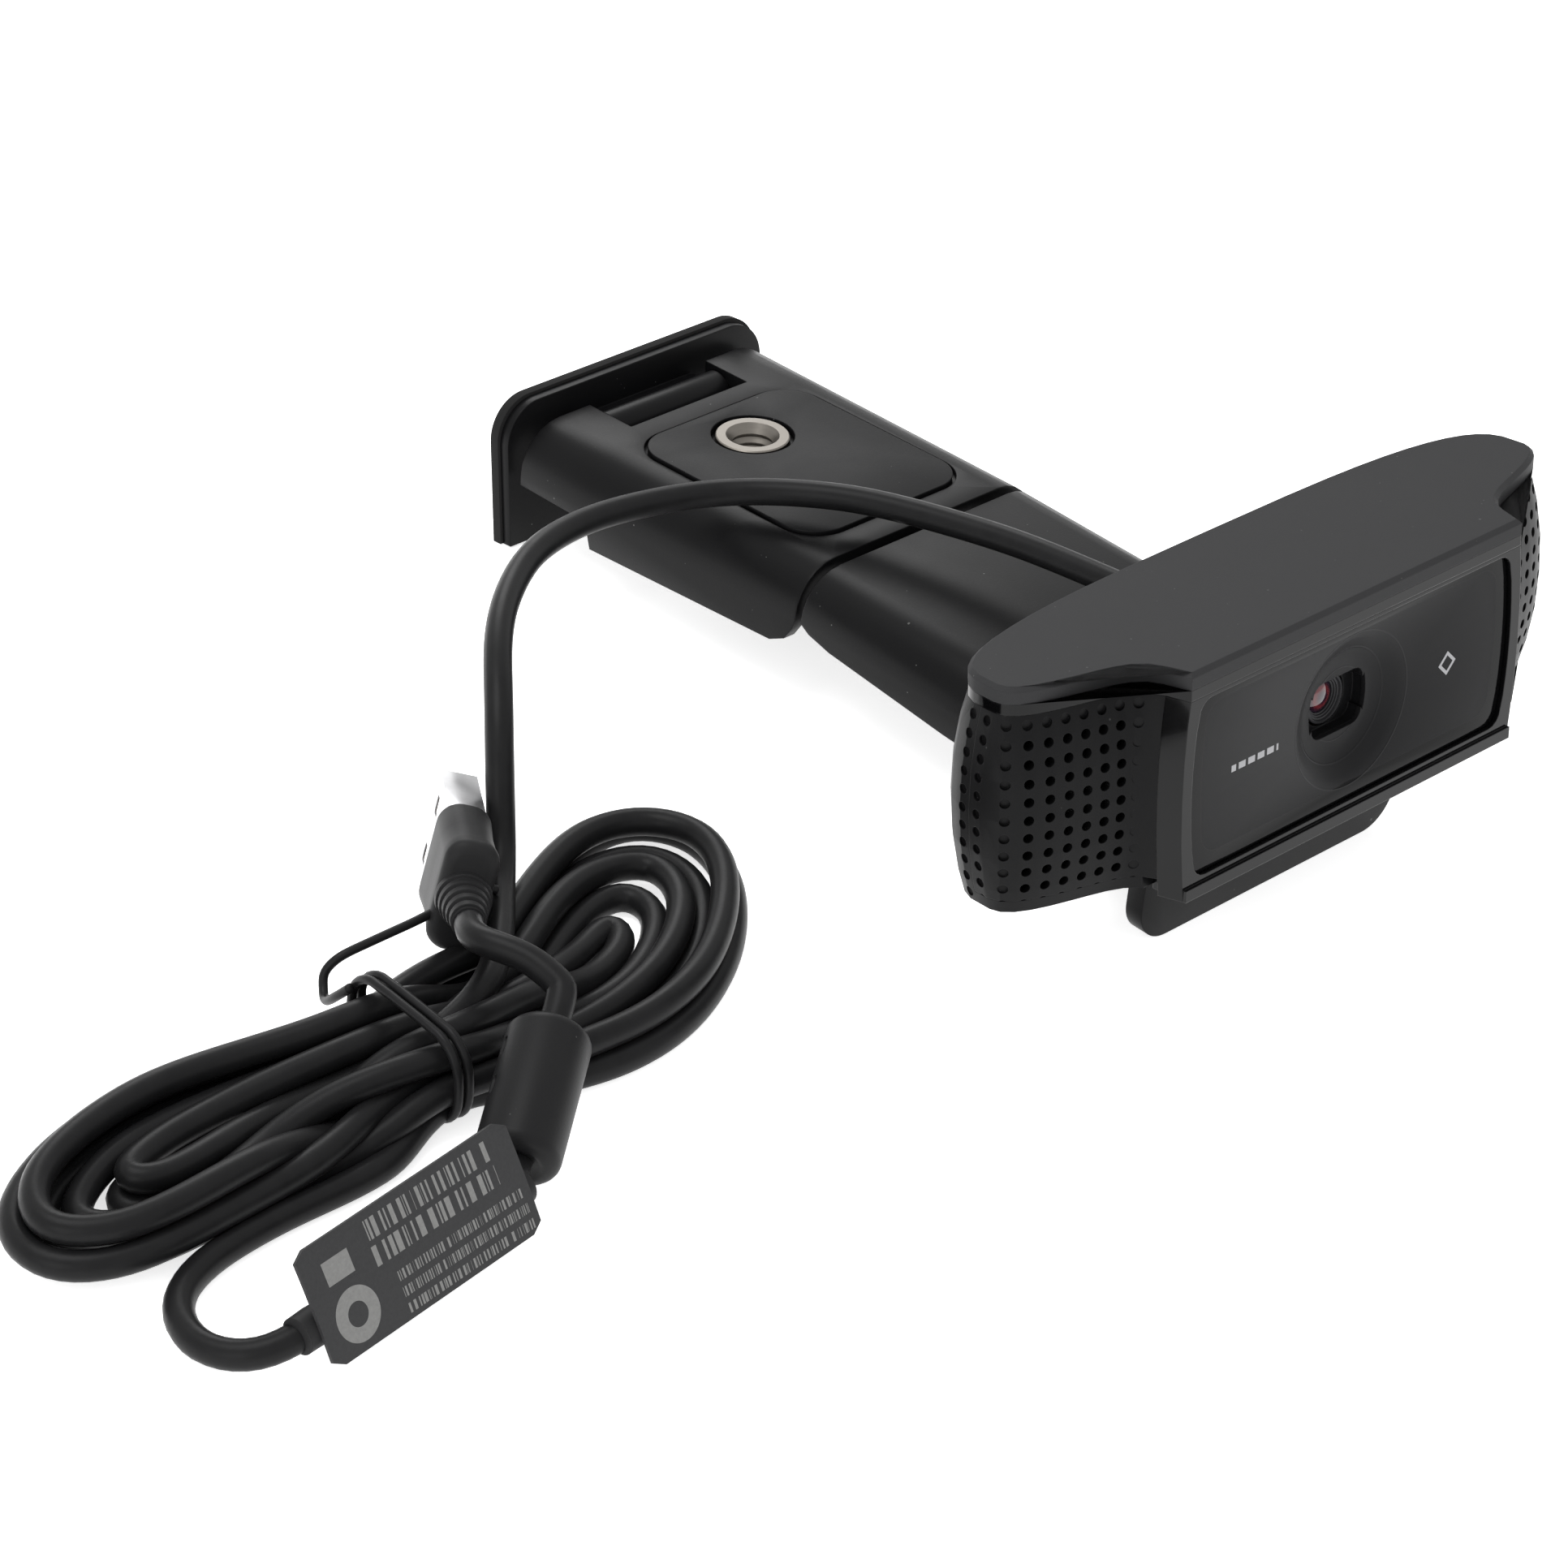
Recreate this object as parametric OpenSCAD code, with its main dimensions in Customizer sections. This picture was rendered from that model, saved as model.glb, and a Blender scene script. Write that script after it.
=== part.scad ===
// Desktop webcam on a fold-out clip stand, with its USB cord tied in a hank.
// Millimetres, +Z up, camera looking along -Y, +X to the webcam's width.
// The stand rests on the lip under the head and on the toe at the far end.

/* [Camera head] */
// Half width of the top cover at its ends
head_half_w = 46.4; // [42:0.2:56]
// Depth from the window's face to the back
head_depth = 24.1; // [21:0.1:30]
// Height from the lower sill to the top cover
head_h = 28.8; // [26:0.1:35]
// How far the ends swell out at mid height
bulge = 1.7; // [0.6:0.1:2.4]
// Half width of the projecting window block
block_half_w = 28.9; // [26:0.1:33]
// Wall thickness of the housing
wall = 1.6; // [1.2:0.1:2.2]
// Thickness of the top cover
cover_t = 2.0; // [1.6:0.1:2.6]
// Height of the gloss band under the cover
band_h = 1.4; // [1:0.1:2]
// Diameter of the sound holes
sound_hole_d = 1.2; // [0.8:0.05:1.5]
// Distance between rows of sound holes
row_pitch = 2.25; // [2:0.05:2.3]
// Distance between columns of sound holes
column_pitch = 2.3; // [2:0.05:2.35]
// How far the head leans back when the stand rests on a table
head_tilt = 6.9; // [4:0.1:9]

/* [Lens] */
// Height of the optical axis above the sill
lens_z = 13.8; // [13:0.1:16]
// Radius of the moving lens barrel
barrel_r = 3.2; // [2.8:0.1:3.6]
// Width of the lens recess
recess_w = 9.0; // [8:0.1:10]
// Height of the lens recess
recess_h = 7.2; // [6.8:0.1:8.4]

/* [Clip stand] */
// Half width of the arm
arm_half_w = 20.8; // [18:0.1:22]
// Distance from the window's face to the fold hinge
fold_y = 70.5; // [64:0.5:80]
// Length of the leg from the fold hinge to its end
leg_len = 50.3; // [47:0.1:56]
// Height of the fold hinge above the table
fold_z = 10.6; // [10:0.1:11]
// Wall thickness of the arm and leg shells
shell_t = 1.8; // [1.4:0.1:2.2]
// Half width of the front lip and of the toe
lip_half_w = 22.7; // [20:0.1:23.2]
// Thickness of the front lip
lip_t = 2.5; // [2:0.1:3]
// Radius of the hinge pins
pin_r = 1.5; // [1.2:0.05:1.8]
// Downward slope of the leg when the stand is open
leg_drop = 3.1; // [2:0.1:4]

/* [Tripod socket] */
// Radius of the threaded hole, at its crests
thread_r = 2.55; // [2.5:0.05:3.2]
// Outer radius of the metal insert
insert_r = 4.8; // [4.4:0.1:5.6]
// Depth of the metal insert
insert_h = 6.6; // [5:0.1:7]

/* [Cord] */
// Diameter of the cord
cord_d = 3.4; // [3:0.1:3.8]
// Height of the tied hank
hank_h = 13.0; // [11:0.5:15]
// Diameter of the ferrite bead
ferrite_d = 9.6; // [8:0.1:10]

/* [Hidden] */
$fn = 48;

slip = 0.05;                 // radial clearance of a pin in its bore
gap = 0.3;                   // clearance between neighbours that move
head_lift = 14.9;            // height of the sill's front edge above the table

band_top = head_h - cover_t;
band_bottom = band_top - band_h;
floor_bottom = 0.6;          // underside of the pods
floor_top = floor_bottom + wall;
end_y = 12.6;                // widest station of the ends
seam_y = 15.5;               // seam between grilles and rear shell
bezel_d = 3.0;               // depth of the block's gloss sides
mid_z = (band_bottom + floor_bottom) / 2;
swell_half = (band_bottom - floor_bottom) / 2;

// Pocket under the head for the arm and its tilt hinge
pocket_half_w = lip_half_w + 1.5;
sensor_clear = 13.1;            // room kept for the lens and its sensor ahead of the tilt pocket
tilt_barrel_r = pin_r + 1.9;
tilt_y = sensor_clear + tilt_barrel_r;               // tilt hinge, in the head's frame
tilt_z = 4.6;
lip_pocket_y = 8.6;
lip_pocket_top = 5.8;
pocket_y = tilt_y - tilt_barrel_r - gap;
pocket_top = 10.2;

// The same hinge in the standing frame
hinge_y = tilt_y * cos(head_tilt) + tilt_z * sin(head_tilt);
hinge_z = -tilt_y * sin(head_tilt) + tilt_z * cos(head_tilt) + head_lift;

// Toe hinge, toe plate and the middle of the stand, in the standing frame
leg_top = 9.65;
toe_axis_y = leg_len - 2.8;
toe_axis_z = leg_top - 2.95;
toe_lean = head_tilt - leg_drop;
toe_face = 4.9;
toe_t = 1.5;
toe_pad_t = 1.4;
toe_up = 5.7;
toe_back = toe_face + toe_t + toe_pad_t;
toe_hinge_y = fold_y + toe_axis_y * cos(leg_drop) + toe_axis_z * sin(leg_drop);
toe_hinge_z = fold_z - toe_axis_y * sin(leg_drop) + toe_axis_z * cos(leg_drop);
toe_down = (toe_hinge_z - toe_back * sin(head_tilt)) / cos(head_tilt);
sill_out = 0.4;
front_y = -sill_out * cos(head_tilt);
back_end_y = toe_hinge_y + toe_back * cos(head_tilt) + toe_up * sin(head_tilt);
mid_y = (front_y + back_end_y) / 2;

// Frames: the stand on the table, the head, the leg and the toe; the cord's route needs none
module in_stand() { translate([0, -mid_y, 0]) children(); }
module in_head() { in_stand() translate([0, 0, head_lift]) rotate([-head_tilt, 0, 0]) children(); }
module in_leg() { in_stand() translate([0, fold_y, fold_z]) rotate([-leg_drop, 0, 0]) children(); }
module in_toe() { in_leg() translate([0, toe_axis_y, toe_axis_z]) rotate([-toe_lean, 0, 0]) children(); }
module both_sides() { children(); mirror([1, 0, 0]) children(); }
module along_y(y, z, x = 0) { translate([x, y, z]) rotate([-90, 0, 0]) children(); }
module along_x(x, y, z) { translate([x, y, z]) rotate([0, 90, 0]) children(); }

function bez(a, b, c, d, t) = a * pow(1 - t, 3) + 3 * b * t * pow(1 - t, 2) + 3 * c * t * t * (1 - t) + d * pow(t, 3);
function rev(v) = [for (i = [len(v) - 1:-1:0]) v[i]];
function clamp01(t) = min(1, max(0, t));
function unit(v) = v / norm(v);

// Plan of the head, right half, from the block's front corner round the pod to the middle of the back
pod_x = head_half_w - 7.9;
neck_x = block_half_w + 0.9;
half_plan = concat(
    [[block_half_w, 0]],
    [for (t = [0:0.2:1]) bez([neck_x, 3.2], [neck_x + 0.8, 6.6], [pod_x - 4, 7.2], [pod_x, 8.4], t)],
    [for (t = [0.2:0.2:0.8]) bez([pod_x, 8.4], [pod_x + 4.5, 9.7], [head_half_w, 11], [head_half_w, end_y + 0.8], t)],
    [for (a = [0:7.5:90]) [head_half_w * pow(cos(a), 2 / 3.4), end_y + 0.8 + (head_depth - end_y - 0.8) * pow(sin(a), 2 / 3.4)]]);
head_plan = concat(half_plan, [for (p = rev(half_plan)) if (p[0] > 0.01) [-p[0], p[1]]]);

// Outward direction at each point of a closed plan
function plan_normal(v, i) = let (n = len(v), d = unit(v[(i + 1) % n] - v[(i + n - 1) % n])) [d[1], -d[0]];
// How much of the swell a point takes: none on the window's face, all of it round the ends, little on the back
back_share = 0.2;
function swell_share(p) = p[1] < 0.1 ? 0
    : p[1] < end_y ? 0.5 + 0.5 * clamp01((abs(p[0]) - neck_x) / 4)
    : back_share + (1 - back_share) * clamp01((abs(p[0]) - 20) / 18);
function swell(z) = bulge * (1 - pow(min(1, abs(z - mid_z) / swell_half), 2.2));
function plan_at(z, inset = 0) = [for (i = [0:len(head_plan) - 1])
    let (p = head_plan[i], n = plan_normal(head_plan, i), out = swell(z) * swell_share(p) - inset)
    p[1] < 0.1 ? [p[0] + sign(p[0]) * (swell(z) * 0.5 - inset), inset] : p + n * out];
function ring_at(z, inset = 0) = [for (p = plan_at(z, inset)) [p[0], p[1], z]];

// Closed solid through a list of rings with equal numbers of points
module loft(rings) {
    n = len(rings[0]);
    m = len(rings);
    points = [for (r = rings) each r];
    sides = [for (k = [0:m - 2], i = [0:n - 1]) let (j = (i + 1) % n)
        each [[k * n + i, (k + 1) * n + i, (k + 1) * n + j], [k * n + i, (k + 1) * n + j, k * n + j]]];
    polyhedron(points, concat([[for (i = [0:n - 1]) i]], sides, [[for (i = [n - 1:-1:0]) (m - 1) * n + i]]));
}

swell_steps = [0, 0.12, 0.3, 0.5, 0.7, 0.88, 1];
module head_solid(inset, z0, z1) {
    loft([for (s = swell_steps) ring_at(z0 + (z1 - z0) * s, inset)]);
}

// ---- Camera head ----

boss_at = [[31.4, 12.4], [-31.4, 12.4], [35, 18], [-35, 18]];
boss_r = 2.3;
screw_r = 0.8;

module top_cover() color([0.13, 0.13, 0.135]) in_head() {
    bevel = 0.5;
    loft([ring_at(band_top), ring_at(head_h - bevel), ring_at(head_h, bevel)]);
    for (p = boss_at) translate([p[0], p[1], floor_top]) difference() {
        cylinder(r = boss_r, h = band_top - floor_top);
        translate([0, 0, -1]) cylinder(r = screw_r + slip, h = 9);
    }
}

module trim_band() color([0.02, 0.02, 0.02]) in_head() difference() {
    loft([ring_at(band_bottom), ring_at(band_top)]);
    translate([0, 0, -0.5]) loft([ring_at(band_bottom, wall + 0.8), ring_at(band_top + 1, wall + 0.8)]);
}

cord_exit_z = 17;
relief_r = 3.0;

// Room for the arm, its hinge and the top of the lip; grown by t for the walls around it
module pocket(t) {
    w = pocket_half_w + t;
    translate([-w, lip_pocket_y - t, t > 0 ? 0 : -1]) cube([2 * w, 40, lip_pocket_top + t + (t > 0 ? 0 : 1)]);
    translate([-w, pocket_y - t, t > 0 ? 0 : -1]) cube([2 * w, 40, pocket_top + t + (t > 0 ? 0 : 1)]);
}
// Row r, column c of the sound holes on the right pod, drawn from depth d0 to d1 outside the plan
grille_cols = 9;
grille_rows = 11;
function walk(p, s, i = 0) = let (d = norm(p[i + 1] - p[i]))
    s <= d ? [p[i] + (p[i + 1] - p[i]) * s / d, unit(p[i + 1] - p[i])] : walk(p, s - d, i + 1);
module sound_hole(r, c, d0, d1) {
    at = walk(half_plan, 6.2 + c * column_pitch);
    translate([at[0][0], at[0][1], mid_z + (r - (grille_rows - 1) / 2) * row_pitch])
        rotate([0, 0, atan2(-at[1][0], at[1][1])]) along_x(d0, 0, 0) cylinder(d = sound_hole_d, h = d1 - d0, $fn = 16);
}
dimple = 0.35;
module dimple_at(r, c) {
    z = (r - (grille_rows - 1) / 2) * row_pitch;
    sound_hole(r, c, swell(mid_z + z) * 0.9 - dimple, bulge + 2);
}

module rear_shell() color([0.07, 0.07, 0.072]) in_head() difference() {
    intersection() {
        head_solid(0, floor_bottom, band_bottom);
        union() {
            difference() {
                union() {
                    translate([-80, seam_y, 0]) cube([160, 40, 40]);
                    translate([-80, bezel_d + wall, 0]) cube([160, 40, floor_top]);
                }
                translate([0, 0, floor_top - floor_bottom]) head_solid(wall, floor_bottom, band_bottom + wall);
            }
            pocket(wall);
        }
    }
    pocket(0);
    along_y(head_depth - 6, cord_exit_z) cylinder(r = relief_r, h = 12);
    along_x(-pocket_half_w - wall + 0.4, tilt_y, tilt_z) cylinder(r = pin_r + slip, h = 2 * (pocket_half_w + wall - 0.4));
    for (p = boss_at) translate([p[0], p[1], -1]) {
        cylinder(r = screw_r + slip, h = 6);
        cylinder(r = 1.7, h = 1 + floor_bottom + 0.9);
    }
    both_sides() for (r = [0:grille_rows - 1]) dimple_at(r, grille_cols);
}

// Sound holes on the right pod: blind round the edge and through in the middle; the left one is its mirror image
module sound_holes() {
    for (c = [0:grille_cols - 1], r = [0:grille_rows - 1])
        if (r == 0 || r == grille_rows - 1 || c == 0 || c > 6) dimple_at(r, c);
        else sound_hole(r, c, -4, bulge + 2);
}
module grille() {
    difference() {
        intersection() {
            head_solid(0, floor_bottom, band_bottom);
            translate([block_half_w, bezel_d, floor_top]) cube([40, seam_y - bezel_d, 40]);
        }
        translate([0, 0, -1]) head_solid(wall - 0.2, floor_bottom, band_bottom + 2.5);
        pocket(wall);
        sound_holes();
    }
}
module right_grille() color([0.05, 0.05, 0.052]) in_head() grille();
module left_grille() color([0.05, 0.05, 0.052]) in_head() mirror([1, 0, 0]) grille();

sill_h = 1.5;
window_y = 0.6;
window_t = 1.2;
window_half_w = block_half_w - 1.6;
window_z0 = 2.3;
window_z1 = band_bottom - 0.5;

// Rounded rectangle with sides that bow outward, drawn in X and Z
function bowed(half_w, z0, z1, bow, r) = let (zc = (z0 + z1) / 2, zh = (z1 - z0) / 2) concat(
    [for (a = [0:22.5:90]) [half_w - r + r * cos(a), z1 - r + r * sin(a)]],
    [for (a = [90:22.5:180]) [-half_w + r + r * cos(a), z1 - r + r * sin(a)]],
    [for (t = [0.75:-0.25:-0.75]) [-half_w - bow * (1 - t * t), zc + zh * t * 0.9]],
    [for (a = [180:22.5:270]) [-half_w + r + r * cos(a), z0 + r + r * sin(a)]],
    [for (a = [270:22.5:360]) [half_w - r + r * cos(a), z0 + r + r * sin(a)]],
    [for (t = [-0.75:0.25:0.75]) [half_w + bow * (1 - t * t), zc + zh * t * 0.9]]);
module slab_y(points, y0, y1) { translate([0, y1, 0]) rotate([90, 0, 0]) linear_extrude(y1 - y0) polygon(points); }

module front_bezel() color([0.015, 0.015, 0.016]) in_head() difference() {
    union() {
        intersection() {
            loft([for (s = swell_steps) let (z = s * band_bottom, w = block_half_w + 0.5 * swell(z))
                [[w, 0, z], [w + 0.9, bezel_d, z], [-w - 0.9, bezel_d, z], [-w, 0, z]]]);
            translate([-80, -1, 0]) cube([160, 40, 40]);
        }
        translate([-block_half_w, -sill_out, 0]) cube([2 * block_half_w, bezel_d + wall + sill_out, sill_h]);
        translate([-block_half_w + 1, bezel_d - 0.1, sill_h]) difference() {
            cube([2 * block_half_w - 2, wall, band_bottom - sill_h]);
            translate([2, -1, 2.5]) cube([2 * block_half_w - 6, 6, band_bottom - sill_h - 5]);
        }
    }
    slab_y(bowed(window_half_w, window_z0, window_z1, 0.8, 2), -1, window_y + window_t);
    slab_y(bowed(window_half_w - 2.4, window_z0 + 2, window_z1 - 2, 0.8, 2), -1, 20);
}

dish_r = 9.8;
module recess_cut(half_w, half_h, y0, y1) {
    slab_y(bowed(half_w, lens_z - half_h, lens_z + half_h, 0.6, 1.6), y0, y1);
}
module front_window() color([0.06, 0.06, 0.065]) in_head() difference() {
    union() {
        slab_y(bowed(window_half_w - 0.1, window_z0 + 0.1, window_z1 - 0.1, 0.8, 2), window_y, window_y + window_t);
        along_y(window_y + window_t, lens_z) cylinder(r = dish_r - 0.8, h = 1.6);
    }
    along_y(window_y - 0.01, lens_z) cylinder(r1 = dish_r, r2 = 6.2, h = 2.2);
    recess_cut(recess_w / 2 - 0.1, recess_h / 2, 0, 10);
}

hood_y = window_y + window_t + 1.6;
hood_len = 3.4;
coil_y = hood_y + hood_len;
module lens_hood() color([0.03, 0.03, 0.03]) in_head() difference() {
    along_y(hood_y, lens_z) cylinder(r = 7.4, h = hood_len);
    recess_cut(recess_w / 2, recess_h / 2, 0, hood_y + 1.4);
    along_y(hood_y - 1, lens_z) cylinder(r = barrel_r + 0.25, h = 10);
}

focus_travel = 0.4;
barrel_y = hood_y + 1.2;
barrel_len = 5.2;
module lens_barrel() color([0.05, 0.05, 0.055]) in_head() difference() {
    along_y(barrel_y, lens_z) cylinder(r = barrel_r, h = barrel_len);
    along_y(barrel_y - 0.01, lens_z) cylinder(r1 = 2.7, r2 = 2.0, h = 0.9);
    along_y(barrel_y, lens_z) cylinder(r = 2.0, h = barrel_len + 1);
}
module lens_glass() color([0.08, 0.1, 0.12]) in_head() {
    glass_y = barrel_y + 0.9;
    dome_r = 4;
    sag = dome_r - sqrt(dome_r * dome_r - 4);
    intersection() {
        along_y(glass_y - sag, lens_z) cylinder(r = 2.0, h = 3);
        translate([0, glass_y - sag + dome_r, lens_z]) sphere(r = dome_r);
    }
    along_y(barrel_y + 4.6, lens_z) cylinder(r = 2.0, h = 0.5);
}

coil_half = 5.2;
coil_len = barrel_y + barrel_len - coil_y + focus_travel + 0.2;
module focus_coil() color([0.25, 0.2, 0.12]) in_head() difference() {
    translate([-coil_half, coil_y, lens_z - coil_half]) cube([2 * coil_half, coil_len, 2 * coil_half]);
    along_y(coil_y - 1, lens_z) cylinder(r = barrel_r + 0.1, h = coil_len + 2);
}
sensor_y = coil_y + coil_len;
sensor_t = 0.7;
module image_sensor() color([0.3, 0.3, 0.35]) in_head()
    translate([-coil_half, sensor_y, lens_z - coil_half]) cube([2 * coil_half, sensor_t, 2 * coil_half]);
board_t = 1.0;
board_z = pocket_top + wall;
board_h = band_bottom - board_z;
module sensor_board() color([0.05, 0.2, 0.1]) in_head()
    translate([-14, sensor_y + sensor_t, board_z]) cube([28, board_t, board_h]);

chip_t = 1.2;
main_y = sensor_y + sensor_t + board_t + chip_t + 0.3;
socket_t = 2.8;
wire_bundle_r = 1.2;
module main_board() color([0.05, 0.22, 0.1]) in_head()
    translate([-23, main_y, board_z]) cube([46, board_t, board_h]);
module processor_chip() color([0.08, 0.08, 0.08]) in_head()
    translate([-18, main_y - chip_t, cord_exit_z - 4]) cube([8, chip_t, 8]);
module cord_socket() color([0.85, 0.83, 0.75]) in_head()
    translate([-4, main_y + board_t, cord_exit_z - 4]) cube([8, socket_t, 8]);
module inner_cord() color([0.1, 0.1, 0.1]) in_head()
    along_y(main_y + board_t + socket_t, cord_exit_z)
        cylinder(r = wire_bundle_r, h = relief_flange_y - main_y - board_t - socket_t);

mic_x = head_half_w - 8.4;
mic_y = 11.4;
mic_r = 3;
module mic_boot() {
    difference() {
        along_y(mic_y, mid_z, mic_x) cylinder(r = mic_r + 1.2, h = 3.4);
        along_y(mic_y - 1, mid_z, mic_x) cylinder(r = mic_r, h = 3.6);
    }
    translate([mic_x - 1.5, mic_y + 0.2, floor_top]) cube([3, 3, mid_z - floor_top - mic_r - 0.8]);
}
module microphone() along_y(mic_y - 0.4, mid_z, mic_x) cylinder(r = mic_r, h = 3);
module right_microphone() color([0.7, 0.7, 0.7]) in_head() microphone();
module left_microphone() color([0.7, 0.7, 0.7]) in_head() mirror([1, 0, 0]) microphone();
module right_mic_boot() color([0.1, 0.1, 0.1]) in_head() mic_boot();
module left_mic_boot() color([0.1, 0.1, 0.1]) in_head() mirror([1, 0, 0]) mic_boot();

module light_guides() color([0.9, 0.9, 0.95]) in_head() both_sides()
    translate([dish_r + 2, window_y + window_t, lens_z - 6]) cube([1.4, 2.2, 12]);

module housing_screws() color([0.4, 0.4, 0.42]) in_head() for (p = boss_at) translate([p[0], p[1], floor_bottom + 0.1]) {
    difference() {
        cylinder(r = 1.6, h = 0.8);
        translate([0, 0, -0.1]) cylinder(r = 0.7, h = 0.6, $fn = 6);
    }
    translate([0, 0, 0.8]) cylinder(r = screw_r, h = 6.4);
}

relief_len = 9;
flange_t = 0.9;
relief_flange_y = head_depth + back_share * swell(cord_exit_z) - wall - flange_t - 0.3;
relief_y = head_depth + back_share * swell(cord_exit_z);
module strain_relief() color([0.04, 0.04, 0.04]) in_head() {
    along_y(relief_flange_y, cord_exit_z) cylinder(r = relief_r + 1, h = flange_t);
    along_y(relief_flange_y + 0.1, cord_exit_z) cylinder(r = relief_r - slip, h = relief_y - relief_flange_y + 1.3);
    along_y(relief_y + 1.4, cord_exit_z) cylinder(r1 = relief_r - slip, r2 = cord_d / 2 + 0.4, h = relief_len - 1.4);
}

// ---- Arm of the stand, the part that the head tilts on ----

arm_top = 19.9;
arm_end = fold_y + 0.2;
arm_start = hinge_y + 5.6;
fold_barrel_r = pin_r + 1.5;

// Inverted U across the width at station y: outer half width, top, bottom edge and shoulder radius
function u_ring(y, half_w, top, bottom, r) = concat(
    [[-half_w, y, bottom]],
    [for (a = [180:-15:90]) [-half_w + r + r * cos(a), y, top - r + r * sin(a)]],
    [for (a = [90:-15:0]) [half_w - r + r * cos(a), y, top - r + r * sin(a)]],
    [[half_w, y, bottom]]);
// Each station is [y, half width, top, bottom]
module channel(stations, r, t) {
    n = len(stations);
    difference() {
        loft([for (s = stations) u_ring(s[0], s[1], s[2], s[3], r)]);
        loft([for (i = [0:n - 1]) let (s = stations[i], y = i == 0 ? s[0] - 1 : i == n - 1 ? s[0] + 1 : s[0])
            u_ring(y, s[1] - t, s[2] - t, -20, r - t)]);
    }
}

arm_r = 6;
arm_stations = [[arm_start, arm_half_w, arm_top, 11.5], [arm_start + 2.5, arm_half_w, arm_top, 9.6],
    [fold_y - 24.5, arm_half_w, arm_top, 10.4], [fold_y - 5, arm_half_w, arm_top, 11.9],
    [fold_y - 1.6, arm_half_w, arm_top, 12.6], [arm_end, arm_half_w, arm_top, arm_top - arm_r - 0.3]];

module arm_shell() color([0.07, 0.07, 0.072]) in_stand() {
    channel(arm_stations, arm_r, shell_t);
    difference() {
        union() {
            along_x(-arm_half_w + 1.2, hinge_y, hinge_z) cylinder(r = tilt_barrel_r, h = 2 * arm_half_w - 2.4);
            translate([-arm_half_w + arm_r + 0.7, hinge_y, hinge_z + tilt_barrel_r - 3])
                cube([2 * (arm_half_w - arm_r - 0.7), arm_start - hinge_y + 1, arm_top - 0.15 - hinge_z - tilt_barrel_r + 3]);
        }
        along_x(-arm_half_w, hinge_y, hinge_z) cylinder(r = pin_r + slip, h = 2 * arm_half_w);
    }
}

lip_y = 10.4;
lip_r = 5;
module front_lip() color([0.07, 0.07, 0.072]) in_stand() {
    lip_top = hinge_z - 0.6;
    difference() {
        union() {
            translate([-lip_half_w, lip_y, lip_r]) cube([2 * lip_half_w, lip_t, lip_top - lip_r]);
            translate([-lip_half_w + lip_r, lip_y, 0]) cube([2 * (lip_half_w - lip_r), lip_t, lip_top]);
            both_sides() along_y(lip_y, lip_r, lip_half_w - lip_r) cylinder(r = lip_r, h = lip_t);
            translate([-arm_half_w + 2, lip_y, lip_top - 2.6]) cube([2 * arm_half_w - 4, hinge_y - lip_y, 2.6]);
        }
        along_x(-40, hinge_y, hinge_z) cylinder(r = tilt_barrel_r, h = 80);
    }
}
module lip_pad() color([0.03, 0.03, 0.03]) in_stand() {
    translate([-lip_half_w + lip_r, lip_y + lip_t, 1.2]) cube([2 * (lip_half_w - lip_r), 0.8, 8.6]);
}

pin_end = pocket_half_w + wall - 0.5;
module tilt_pin() color([0.6, 0.6, 0.62]) in_stand() along_x(-pin_end, hinge_y, hinge_z) cylinder(r = pin_r, h = 2 * pin_end);

knuckle_in = 8.6;
knuckle_out = 14.5;
module arm_knuckle() color([0.1, 0.1, 0.105]) in_stand() difference() {
    union() {
        along_x(-knuckle_in, fold_y, fold_z) cylinder(r = fold_barrel_r, h = 2 * knuckle_in);
        translate([-knuckle_in, fold_y - fold_barrel_r, fold_z]) cube([2 * knuckle_in, 2.4, arm_top - shell_t - fold_z]);
        translate([-knuckle_in - 3, fold_y - 16, arm_top - shell_t - 1.6]) cube([2 * knuckle_in + 6, 13.4, 1.6]);
    }
    along_x(-40, fold_y, fold_z) cylinder(r = pin_r + slip, h = 80);
}
module fold_pin() color([0.6, 0.6, 0.62]) in_stand() along_x(-knuckle_out, fold_y, fold_z) cylinder(r = pin_r, h = 2 * knuckle_out);

// ---- Leg, in its own frame: origin on the fold hinge, +Y along the leg ----

leg_start = 0.9;
leg_flare = 1.1;
leg_r = 6.5;
notch_y = leg_len - 13;
slot_y = leg_len - 7.9;
slot_half_w = 10.2;
panel_y0 = 5.0;
panel_y1 = notch_y + 1.6;
panel_half_w = 14.3;
panel_r = 5.5;
insert_y = panel_y1 - 8.3;

function leg_w(y) = arm_half_w + leg_flare * y / leg_len;
leg_stations = [for (s = [[leg_start, leg_top - leg_r - 0.2], [leg_start + 0.5, 1.6], [leg_start + 1.7, -0.2], [leg_start + 4.2, -1.35],
    [notch_y, -2.1], [notch_y + 1, 1.5], [leg_len, 1.9]]) [s[0], leg_w(s[0]), leg_top, s[1]]];

module rounded_plate(half_w, y0, y1, r, z0, z1) {
    translate([-half_w + r, y0, z0]) cube([2 * (half_w - r), y1 - y0, z1 - z0]);
    translate([-half_w, y0 + r, z0]) cube([2 * half_w, y1 - y0 - 2 * r, z1 - z0]);
    for (x = [-half_w + r, half_w - r], y = [y0 + r, y1 - r]) translate([x, y, z0]) cylinder(r = r, h = z1 - z0);
}

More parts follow.
